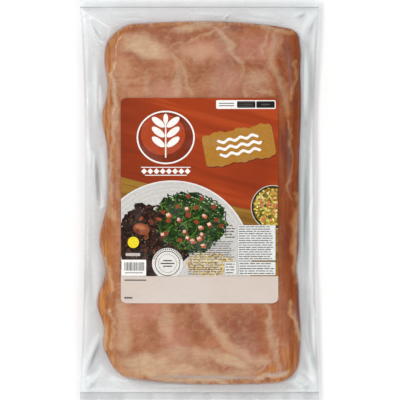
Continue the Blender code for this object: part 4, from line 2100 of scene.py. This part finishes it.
class Banner(NamedTuple):
    """A printed band with wavy long edges, or one that waves as a whole; the pitch is a wave's length."""

    layer: Layer
    centre: Point2
    size: Point2
    ink: Colour
    turn: float
    pitch: float
    radius: float
    edge_wave: float = 0.0
    line_wave: float = 0.0
    wave_start: float = 0.8
    second_wave: float = 0.45
    second_pitch: float = 0.37
    lower_wave: float = 0.8

    def add_to(self, layers: Layers) -> None:
        """Adds it to its layer.

        Args:
            layers: The layers of print.
        """
        length, width = self.size
        cells = (max(8, round(length / BANNER_CELL[0])), max(1, round(width / BANNER_CELL[1])))
        place = layers[self.layer].at(self.centre)
        piece = add_grid(place, (length * MM, width * MM), cells, self.turn)
        places = vertex_places(piece) / MM
        x, y = places[:, 0].copy(), places[:, 1].copy()
        phase = 2 * math.pi * x / self.pitch
        wave = np.sin(phase + self.wave_start)
        wave += self.second_wave * np.sin(phase / self.second_pitch + np.sign(y))
        places[:, 1] += self.edge_wave * wave * y / (width / 2) * np.where(y > 0, 1.0, self.lower_wave)
        places[:, 1] += self.line_wave * np.sin(phase)
        cut = corner_cut(self.radius - (length / 2 - np.abs(x)), self.radius, 1.0)
        places[:, 1] -= y * cut / (width / 2)
        move_vertices(piece, places * MM)
        layers[self.layer].keep(piece, self.ink)


STRIP = np.array([
    (-0.5, -0.2), (-0.2, 0.3), (0.15, 0.55), (0.5, 0.15),
    (0.42, -0.3), (0.1, 0.0), (-0.15, -0.2), (-0.4, -0.6),
])
BEAN = np.array([
    (0.5, 0.0), (0.35, 0.38), (0.0, 0.5), (-0.35, 0.38),
    (-0.5, 0.0), (-0.35, -0.38), (0.0, -0.42), (0.35, -0.38),
])
CRUMB = np.array([(0.5, 0.05), (0.2, 0.42), (-0.3, 0.5), (-0.5, -0.05), (-0.15, -0.5), (0.38, -0.36)])
SQUARE = np.array([(-0.5, -0.5), (0.5, -0.5), (0.5, 0.5), (-0.5, 0.5)])

GOLDEN_ANGLE = math.radians(137.508)


@dataclass(frozen=True)
class Heap:
    """A heap of small things in a picture, spread over an ellipse by a seeded rule."""

    centre: Point2
    half: Point2
    seed: int
    count: int
    length: Point2
    width: Point2
    reach: float = 1.0
    rim_wave: float = 0.03
    astray: float = 0.55
    covered: float = 0.94

    def places(self) -> Values:
        """Draws places, turns and sizes for the heap's things.

        Returns:
            One row for each: x, y, turn, length and width.
        """
        draw = np.random.default_rng(self.seed)
        order = draw.permutation(self.count)
        angle = order * GOLDEN_ANGLE
        radius = self.reach * np.sqrt((order + 0.5) / self.count)
        radius *= 1 + self.rim_wave * np.sin(3 * angle + 1)
        astray = draw.normal(0, self.astray / math.sqrt(self.count), (2, self.count))
        return np.column_stack((
            self.centre[0] + self.half[0] * (radius * np.cos(angle) + astray[0]),
            self.centre[1] + self.half[1] * (radius * np.sin(angle) + astray[1]),
            draw.uniform(0, 2 * math.pi, self.count),
            draw.uniform(*self.length, self.count),
            draw.uniform(*self.width, self.count),
        ))

    def covers(self, rows: Values) -> Values:
        """Says which rows' places are inside the heap.

        Args:
            rows: Rows that start with x and y.

        Returns:
            True for each row inside.
        """
        across = (rows[:, 0] - self.centre[0]) / self.half[0]
        along = (rows[:, 1] - self.centre[1]) / self.half[1]
        return np.hypot(across, along) < self.covered

    def colours(self, palette: Sequence[Colour], spread: float = 0.15) -> Values:
        """Draws an ink for each thing from a palette, a little lighter or darker.

        Args:
            palette: The inks.
            spread: How much lighter or darker they can be, as a share.

        Returns:
            One colour for each thing.
        """
        draw = np.random.default_rng(self.seed + 1)
        chosen = np.array(palette)[draw.integers(0, len(palette), self.count)]
        return chosen * draw.uniform(1 - spread, 1 + spread, self.count)[:, None]

    def strew(
        self, shapes: PrintedShapes, outline: Values, inks: Sequence[Colour], end: float = 100
    ) -> None:
        """Scatters the heap's things over a layer.

        Args:
            shapes: The layer.
            outline: The outline of one thing.
            inks: The inks.
            end: The place along X where they end.
        """
        rows = self.places()
        kept = rows[:, 0] < end
        shapes.scatter(outline, rows[kept], self.colours(inks)[kept])


WHITE = srgb(246, 244, 240)
PAPER = srgb(226, 226, 224)
NEAR_BLACK = srgb(26, 24, 24)
PRINT_GREY = srgb(88, 87, 85)


class PrintedPart(Protocol):
    """One part of the label's print."""

    def add_to(self, layers: Layers) -> None:
        """Adds its shapes to the layers."""


@dataclass(frozen=True)
class ShapeGroup:
    """A part of the print that is made of plain shapes."""

    shapes: tuple[PrintedPart, ...]

    def add_to(self, layers: Layers) -> None:
        """Adds its shapes to the layers."""
        for shape in self.shapes:
            shape.add_to(layers)


@dataclass(frozen=True)
class Plaque:
    """The gold plaque with uneven long edges and plain white waves, tilted up to the right."""

    centre: Point2 = (49, 67.5)
    shadow: Point2 = (49.8, 66.1)
    size: Point2 = (88, 41)
    turn: float = 10.5
    gold: Colour = srgb(174, 121, 44)
    shade: Colour = srgb(112, 38, 14)
    edge: tuple[float, ...] = (27, 4, 1.3)
    stripe: Point2 = (58, 3.6)
    stripe_step: float = 8.6
    stripe_wave: tuple[float, ...] = (14.5, 1.7, 0.0, 1.5)
    outer_loss: float = 0.1

    def add_to(self, layers: Layers) -> None:
        """Adds the plaque, its shadow and its waves.

        Args:
            layers: The layers of print.
        """
        Banner(Layer.GROUND, self.shadow, self.size, self.shade, self.turn, *self.edge).add_to(layers)
        Banner(Layer.FORM, self.centre, self.size, self.gold, self.turn, *self.edge).add_to(layers)
        turn = math.radians(self.turn)
        for step in (-1, 0, 1):
            off = step * self.stripe_step
            centre = (self.centre[0] - off * math.sin(turn), self.centre[1] + off * math.cos(turn))
            size = (self.stripe[0] * (1 - self.outer_loss * abs(step)), self.stripe[1])
            Banner(Layer.DETAIL, centre, size, WHITE, self.turn, *self.stripe_wave).add_to(layers)


@dataclass(frozen=True)
class Medallion:
    """The round medallion: a white line round a darker red field with a plain white sprig of leaves."""

    discs: tuple[Disc, ...] = (
        Disc(Layer.GROUND, (-41.9, 77.5), 36.0, WHITE, squash=0.92),
        Disc(Layer.FORM, (-41.9, 77.5), 34.1, srgb(122, 42, 16), squash=0.916),
        Disc(Layer.DETAIL, (-45.4, 81), 27.6, srgb(172, 66, 30), squash=0.92),
    )
    stem: Panel = Panel(Layer.FOOD, (-41.9, 74.5), (1.7, 44), WHITE, 0.6)
    leaf_length: float = 9.6
    leaf_squash: float = 4.0 / 9.6
    leaf_turn: float = 52
    leaf_out: float = 9.2
    pair_heights: tuple[float, ...] = (72, 84.2, 96.4)
    bud: Disc = Disc(Layer.FOOD, (-41.9, 100.5), 6.4, WHITE, 28, 0.46, 90)

    def add_to(self, layers: Layers) -> None:
        """Adds the field with its line and glow, then the sprig.

        Args:
            layers: The layers of print.
        """
        for shape in (*self.discs, self.stem):
            shape.add_to(layers)
        for height in self.pair_heights:
            for side in (-1, 1):
                centre = (self.stem.centre[0] + side * self.leaf_out, height)
                turn = 90 - side * self.leaf_turn
                leaf = (self.leaf_length, WHITE, self.bud.sides, self.leaf_squash, turn)
                Disc(Layer.FOOD, centre, *leaf).add_to(layers)
        self.bud.add_to(layers)


@dataclass(frozen=True)
class Ornament:
    """The white ornament under the medallion: a row of plain lozenges between two fine lines."""

    left: float = -72.5
    right: float = -11
    middle: float = 35.6
    lozenge: Point2 = (5.2, 5.2)
    count: int = 8
    line: float = 1.0
    line_off: float = 4.9
    line_shares: Point2 = (0.84, 1.0)

    def add_to(self, layers: Layers) -> None:
        """Adds the lines and the lozenges.

        Args:
            layers: The layers of print.
        """
        width = self.right - self.left
        for side, share in zip((-1, 1), self.line_shares):
            centre = ((self.left + self.right) / 2, self.middle + side * self.line_off)
            Panel(Layer.GROUND, centre, (width * share, self.line), WHITE).add_to(layers)
        for step in range(self.count):
            centre = (self.left + (step + 0.5) * width / self.count, self.middle)
            Panel(Layer.GROUND, centre, self.lozenge, WHITE, turn=45).add_to(layers)


CORNER_STRIP = ShapeGroup((
    Panel(Layer.GROUND, (57.5, 118.3), (73.8, 10.8), WHITE, 1.8),
    Panel(Layer.FORM, (57.9, 118.3), (22.8, 8.2), NEAR_BLACK, 1.2),
    Panel(Layer.FORM, (81.8, 118.3), (22.8, 8.2), NEAR_BLACK, 1.2),
    Panel(Layer.FORM, (33.4, 116.8), (19, 1.1), PRINT_GREY),
    Panel(Layer.FORM, (33.4, 119.8), (19, 1.1), PRINT_GREY),
    Panel(Layer.DETAIL, (57.9, 116.2), (18, 0.5), PRINT_GREY),
    Panel(Layer.DETAIL, (57.9, 118.3), (18, 0.5), PRINT_GREY),
    Panel(Layer.DETAIL, (57.9, 120.4), (18, 0.5), PRINT_GREY),
    Panel(Layer.DETAIL, (81.8, 118.3), (11, 1.0), PRINT_GREY),
))


@dataclass(frozen=True)
class Plate:
    """The pale plate of the picture, with its heaps of shredded greens, dark beans and crumbs."""

    centre: Point2 = (-33.9, -74.1)
    sides: int = 120
    discs: tuple[tuple[Layer, float, Colour], ...] = (
        (Layer.GROUND, 98.3, srgb(230, 229, 227)),
        (Layer.FORM, 96.7, srgb(201, 198, 194)),
    )
    ridge: Colour = srgb(214, 212, 209)
    ridges: tuple[float, ...] = (92, 87.5, 82, 75)
    ridge_width: float = 0.9
    ridge_sides: int = 96
    crumbs: Heap = Heap((13, -80), (30, 15), 71, 210, (2.0, 3.8), (1.6, 3.0))
    crumb_inks: tuple[Colour, ...] = (
        srgb(226, 196, 110), srgb(214, 178, 88), srgb(232, 216, 168), srgb(196, 150, 70),
    )
    bean_bed: Heap = Heap((-59, -50), (41, 38), 61, 120, (14, 22), (14, 20))
    bean_bed_ink: Colour = srgb(28, 14, 9)
    beans: Heap = Heap((-58, -50), (46, 43.5), 62, 560, (4.6, 6.4), (3.0, 4.2))
    bean_inks: tuple[Colour, ...] = (
        srgb(22, 13, 9), srgb(38, 20, 14), srgb(54, 29, 20), srgb(28, 15, 10), srgb(72, 42, 30),
    )
    bean_spread: float = 0.25
    glints: tuple[Colour, ...] = (srgb(104, 80, 70), srgb(80, 48, 36), srgb(60, 36, 26))
    glint_step: int = 4
    glint_off: Point2 = (-0.4, 0.6)
    glint_share: float = 0.5
    slices: Heap = Heap((-72, -46), (22, 28), 66, 9, (5, 9), (4, 6))
    slice_inks: tuple[Colour, ...] = (srgb(142, 72, 38), srgb(104, 50, 28))
    round_slice: tuple[Disc, ...] = (
        Disc(Layer.SIDE, (-72, -36), 10.4, srgb(142, 72, 38), 28, 0.68, -12),
        Disc(Layer.TOP, (-73.4, -33.8), 6.6, srgb(178, 104, 64), 24, 0.4, -14),
    )
    green_bed: Heap = Heap((-12, -28), (38, 31), 41, 100, (14, 22), (12, 18))
    green_bed_ink: Colour = srgb(16, 36, 10)
    shreds: Heap = Heap((-11.5, -28), (43.5, 36.5), 42, 560, (6, 13), (1.7, 3.4))
    green_inks: tuple[Colour, ...] = (
        srgb(28, 56, 12), srgb(42, 74, 18), srgb(58, 92, 28),
        srgb(92, 126, 48), srgb(16, 36, 9), srgb(30, 60, 14),
    )
    cubes: Heap = Heap((-11, -27), (40, 33), 53, 26, (4.6, 6.6), (4.0, 5.6))
    cube_light: Colour = srgb(232, 190, 168)
    cube_side: Colour = srgb(190, 98, 66)
    cube_dark: Colour = srgb(142, 58, 38)
    cube_turn: float = 0.5
    cube_off: Point2 = (1.2, -1.5)
    cube_top: float = 0.72

    def add_to(self, layers: Layers) -> None:
        """Adds the plate and its heaps.

        Args:
            layers: The layers of print.
        """
        for layer, radius, ink in self.discs:
            Disc(layer, self.centre, radius, ink, self.sides, is_cut=True).add_to(layers)
        for radius in self.ridges:
            ring = (radius, self.ridge_width, self.ridge, self.ridge_sides, True)
            Ring(Layer.DETAIL, self.centre, *ring).add_to(layers)
        detail = layers[Layer.DETAIL]
        self.crumbs.strew(detail, CRUMB, self.crumb_inks)
        self.bean_bed.strew(detail, CRUMB, [self.bean_bed_ink])
        self.add_beans(layers)
        self.green_bed.strew(detail, CRUMB, [self.green_bed_ink])
        self.shreds.strew(layers[Layer.FOOD], STRIP, self.green_inks)
        self.add_cubes(layers)

    def add_beans(self, layers: Layers) -> None:
        """Adds the beans that the greens leave free, their glints and the slices of meat on them.

        Args:
            layers: The layers of print.
        """
        rows = self.beans.places()
        seen = ~self.shreds.covers(rows)
        rows = rows[seen]
        layers[Layer.FOOD].scatter(BEAN, rows, self.beans.colours(self.bean_inks, self.bean_spread)[seen])
        glints = rows[:: self.glint_step] + np.array([*self.glint_off, 0, 0, 0])
        glints[:, 3:] *= self.glint_share
        colours = self.beans.colours(self.glints)[seen][:: self.glint_step]
        layers[Layer.SIDE].scatter(BEAN, glints, colours)
        self.slices.strew(layers[Layer.SIDE], CRUMB, self.slice_inks)
        for disc in self.round_slice:
            disc.add_to(layers)

    def add_cubes(self, layers: Layers) -> None:
        """Adds cubes of meat among the greens: a light top on a darker side, and some dark ones.

        Args:
            layers: The layers of print.
        """
        rows = self.cubes.places()
        rows[:, 2] = self.cube_turn * np.sin(rows[:, 2])
        sides = rows + np.array([*self.cube_off, 0, 0, 0])
        inks = self.cubes.colours([self.cube_side, self.cube_dark])
        layers[Layer.SIDE].scatter(SQUARE, sides[::2], inks[::2])
        layers[Layer.SIDE].scatter(SQUARE, sides[1::2], self.cubes.colours([self.cube_dark])[1::2])
        tops = rows[::2].copy()
        tops[:, 3:] *= self.cube_top
        layers[Layer.TOP].scatter(SQUARE, tops, self.cubes.colours([self.cube_light])[: len(tops)])


@dataclass(frozen=True)
class Bowl:
    """The small bowl of yellow crumbs at the picture's right edge."""

    discs: tuple[Disc, ...] = (
        Disc(Layer.GROUND, (91, -9), 27.4, srgb(206, 200, 186), is_cut=True),
        Disc(Layer.FORM, (91, -9), 26.5, srgb(52, 38, 22), is_cut=True),
        Disc(Layer.DETAIL, (91, -9), 24.0, srgb(112, 92, 34), is_cut=True),
    )
    crumbs: Heap = Heap((91, -9), (23.4, 23.4), 81, 420, (2.2, 4.2), (1.8, 3.2), 0.98)
    crumb_inks: tuple[Colour, ...] = (
        srgb(214, 194, 82), srgb(236, 220, 134), srgb(190, 152, 52), srgb(150, 112, 36),
    )
    crumbs_end: float = 95.8
    bits: Heap = Heap((91, -9), (20, 20), 83, 26, (3.0, 5.0), (2.4, 4.0))
    bit_inks: tuple[Colour, ...] = (srgb(196, 104, 70), srgb(206, 128, 96), srgb(70, 92, 38))
    bits_end: float = 94.8

    def add_to(self, layers: Layers) -> None:
        """Adds the bowl, its crumbs and the bits on them.

        Args:
            layers: The layers of print.
        """
        for disc in self.discs:
            disc.add_to(layers)
        self.crumbs.strew(layers[Layer.FOOD], CRUMB, self.crumb_inks, self.crumbs_end)
        self.bits.strew(layers[Layer.SIDE], SQUARE, self.bit_inks, self.bits_end)


@dataclass(frozen=True)
class RuledBox:
    """A pale box, or a plain place, with rows of short dark bars."""

    left: float
    bottom: float
    right: float
    top: float
    rows: int
    seed: int
    row_width: float = 1.05
    ground: Colour | None = PAPER
    ink: Colour = PRINT_GREY
    line: float = 0.5
    radius: float = 1.0
    inner_radius: float = 0.8
    inset: float = 1.6
    ragged: float = 0.12
    first_row: float = 0.8
    last_row: float = 0.6
    bar: Point2 = (3, 9)
    bar_gap: Point2 = (0.5, 1.4)
    shortest: float = 1.0

    def add_to(self, layers: Layers) -> None:
        """Adds the box and its bars.

        Args:
            layers: The layers of print.
        """
        centre = ((self.left + self.right) / 2, (self.bottom + self.top) / 2)
        width, height = self.right - self.left, self.top - self.bottom
        if self.ground is not None:
            inner = (width - self.line, height - self.line)
            Panel(Layer.TOP, centre, (width, height), self.ink, self.radius).add_to(layers)
            Panel(Layer.BOX, centre, inner, self.ground, self.inner_radius).add_to(layers)
        draw = np.random.default_rng(self.seed)
        pitch = height / (self.rows + self.last_row)
        bars = []
        for row in range(self.rows):
            y = self.top - (row + self.first_row) * pitch
            x = self.left + self.inset
            end = self.right - self.inset - draw.uniform(0, self.ragged) * width
            while x < end - self.shortest:
                length = min(draw.uniform(*self.bar), end - x)
                bars.append((x + length / 2, y, 0.0, length, self.row_width))
                x += length + draw.uniform(*self.bar_gap)
        layers[Layer.MARK].scatter(SQUARE, np.array(bars), np.tile(self.ink, (len(bars), 1)))


@dataclass(frozen=True)
class BarBox:
    """The white box with upright dark bars of uneven width at the lower left."""

    panels: tuple[Panel, ...] = (
        Panel(Layer.BOX, (-81.4, -83.9), (30.6, 19.8), WHITE, 0.6),
        Panel(Layer.MARK, (-81.4, -90.2), (22, 0.9), PRINT_GREY),
    )
    left: float = -93
    right: float = -68.8
    bar_bottom: float = -87.6
    bar_top: float = -77.2
    bar_widths: tuple[float, ...] = (0.35, 0.55, 0.8, 1.05)
    gap_widths: tuple[float, ...] = (0.4, 0.55, 0.8)
    ink: Colour = srgb(70, 68, 68)
    seed: int = 17

    def add_to(self, layers: Layers) -> None:
        """Adds the upright bars, then the box and the line under them.

        Args:
            layers: The layers of print.
        """
        draw = np.random.default_rng(self.seed)
        middle, height = (self.bar_bottom + self.bar_top) / 2, self.bar_top - self.bar_bottom
        bars = []
        x = self.left
        while x < self.right:
            width = draw.choice(self.bar_widths)
            bars.append((x + width / 2, middle, 0.0, width, height))
            x += width + draw.choice(self.gap_widths)
        layers[Layer.MARK].scatter(SQUARE, np.array(bars), np.tile(self.ink, (len(bars), 1)))
        for panel in self.panels:
            panel.add_to(layers)


@dataclass(frozen=True)
class Stamp:
    """The round stamp: a dark line round a white field with plain bars, and a dotted arc over it."""

    centre: Point2 = (-39.6, -78.6)
    shapes: tuple[PrintedPart, ...] = (
        Disc(Layer.BOX, (-39.6, -78.6), 19.2, srgb(226, 222, 216), 60, is_cut=True),
        Ring(Layer.MARK, (-39.6, -78.6), 15.6, 0.8, NEAR_BLACK),
        Ring(Layer.MARK, (-39.6, -78.6), 11.4, 0.35, PRINT_GREY),
        Panel(Layer.MARK, (-39.6, -75.2), (11, 1.3), NEAR_BLACK),
        Panel(Layer.MARK, (-39.6, -78.6), (17, 1.3), NEAR_BLACK),
        Panel(Layer.MARK, (-39.6, -82.0), (11, 1.3), NEAR_BLACK),
    )
    arc_radius: float = 17.7
    arc: Point2 = (20, 160)
    dots: int = 19
    dot: Point2 = (1.7, 1.2)

    def add_to(self, layers: Layers) -> None:
        """Adds the field with its lines and bars, then the dots.

        Args:
            layers: The layers of print.
        """
        for shape in self.shapes:
            shape.add_to(layers)
        angles = np.radians(np.linspace(*self.arc, self.dots))
        x = self.centre[0] + self.arc_radius * np.cos(angles)
        y = self.centre[1] + self.arc_radius * np.sin(angles)
        rows = np.column_stack((x, y, angles, np.tile(self.dot, (self.dots, 1))))
        layers[Layer.MARK].scatter(SQUARE, rows, np.tile(PRINT_GREY, (self.dots, 1)))


LABEL_PRINT: tuple[PrintedPart, ...] = (
    Plaque(),
    Medallion(),
    Ornament(),
    CORNER_STRIP,
    Plate(),
    Bowl(),
    RuledBox(46.9, -75, 94.4, -31, 15, 5),
    RuledBox(48.1, -93.4, 94.4, -76.4, 5, 6, 1.1),
    RuledBox(30.8, -93, 46.1, -76.6, 4, 7, 1.2),
    RuledBox(-15.5, -75.4, 45.5, -49.6, 9, 8, 0.8, None),
    RuledBox(-15.5, -94, 29.5, -75.6, 6, 9, 0.8, None),
    RuledBox(30, -49, 45.5, -29, 5, 10, 1.2, None),
    BarBox(),
    Stamp(),
    Disc(Layer.MARK, (-82, -52.5), 7.0, srgb(236, 214, 40), 36),
    Panel(Layer.MARK, (-82.5, -67.6), (18, 3.6), srgb(196, 186, 178), 0.8),
)
FOOT_PRINT = ShapeGroup((
    Panel(Layer.GROUND, (-79.5, -99.3), (27, 1.5), PRINT_GREY),
    Panel(Layer.GROUND, (-88.2, -121.2), (10, 2.0), PRINT_GREY),
))


@dataclass
class ProductLabel:
    """The label sheet with all that is printed on it."""

    sheet: LabelSheet = field(default_factory=LabelSheet)

    def build(self, bag: Piece) -> None:
        """Models the label and its print.

        Args:
            bag: The film bag that the label lies on.
        """
        sheet = self.sheet.build(bag)
        layers = {layer: PrintedShapes("print_" + layer.name.lower(), layer.value) for layer in Layer}
        for part in LABEL_PRINT:
            part.add_to(layers)
        foot = {Layer.GROUND: PrintedShapes("print_foot", Layer.GROUND.value)}
        FOOT_PRINT.add_to(foot)
        ink = INK_FINISH.build()
        for shapes in (*layers.values(), *foot.values()):
            shapes.build(sheet, ink)


# The studio


class Lamp(NamedTuple):
    """A rectangular area light: its name, place, size, power in watts and the point that it faces."""

    name: str
    place: Point3
    size: Point2
    power: float
    aim: Point3

    def build(self) -> None:
        """Adds the light."""
        lamp = bpy.data.lights.new(self.name, "AREA")
        lamp.shape = "RECTANGLE"
        lamp.size, lamp.size_y = self.size
        lamp.energy = self.power
        stand = bpy.data.objects.new(self.name, lamp)
        bpy.context.collection.objects.link(stand)
        stand.location = self.place
        direction = Vector(self.aim) - Vector(self.place)
        stand.rotation_euler = direction.to_track_quat("-Z", "Y").to_euler()


@dataclass
class Studio:
    """A pale floor, soft light and the camera straight above, as the photo shows the pack."""

    floor_size: float = 6.0
    floor_gap: float = 0.2 * MM
    surround: tuple[float, float, float, float] = (1.0, 0.995, 0.985, 1.0)
    surround_strength: float = 0.44
    lamps: tuple[Lamp, ...] = (
        Lamp("key", (-1.5, 0.9, 2.4), (1.0, 1.0), 44, (0, 0, 0)),
        Lamp("fill", (1.8, -0.3, 2.2), (1.6, 1.6), 22, (0, 0, 0)),
        Lamp("foot_strip", (0.0, -2.0, 1.2), (2.0, 0.2), 12, (0, -0.1, 0)),
    )
    camera_place: Point3 = (0.0006, 0, 4.0)
    sensor_width: float = 36
    view_width: float = 0.5
    view_depth: float = 50
    look_height: float = 0.009

    def build(self) -> None:
        """Makes the floor, the surround, the lights and the camera."""
        self.build_floor()
        self.build_surround()
        for lamp in self.lamps:
            lamp.build()
        self.build_camera()

    def build_floor(self) -> None:
        """Makes the floor, just under the pack."""
        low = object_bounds()[0][2] - self.floor_gap
        floor = add_shape(bpy.ops.mesh.primitive_plane_add, (0, 0, low), size=self.floor_size)
        apply_place(floor)
        floor.name = "studio_floor"
        floor.data.materials.append(FLOOR_FINISH.build())
        floor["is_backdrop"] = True

    def build_surround(self) -> None:
        """Makes an even, almost white surround."""
        world = bpy.data.worlds.new("studio_world")
        bpy.context.scene.world = world
        world.use_nodes = True
        background = world.node_tree.nodes["Background"]
        background.inputs["Color"].default_value = self.surround
        background.inputs["Strength"].default_value = self.surround_strength

    def build_camera(self) -> None:
        """Adds the camera, straight above the pack, and makes it the scene's own."""
        camera = bpy.data.cameras.new("studio_camera")
        camera.sensor_width = self.sensor_width
        camera.lens = self.sensor_width * (self.camera_place[2] - self.look_height) / self.view_width
        camera.clip_end = self.view_depth
        holder = bpy.data.objects.new("studio_camera", camera)
        bpy.context.collection.objects.link(holder)
        holder.location = self.camera_place
        bpy.context.scene.camera = holder
        bpy.context.scene.view_settings.view_transform = "Standard"


def main() -> None:
    """Builds the bag, the slab, the label and the studio, in that order."""
    logging.basicConfig(level=logging.INFO, format="%(name)s %(message)s")
    form = BagForm()
    bag = FilmBag(form).build()
    BaconSlab(form).build()
    ProductLabel().build(bag)
    Studio().build()


if __name__ == "__main__":
    main()
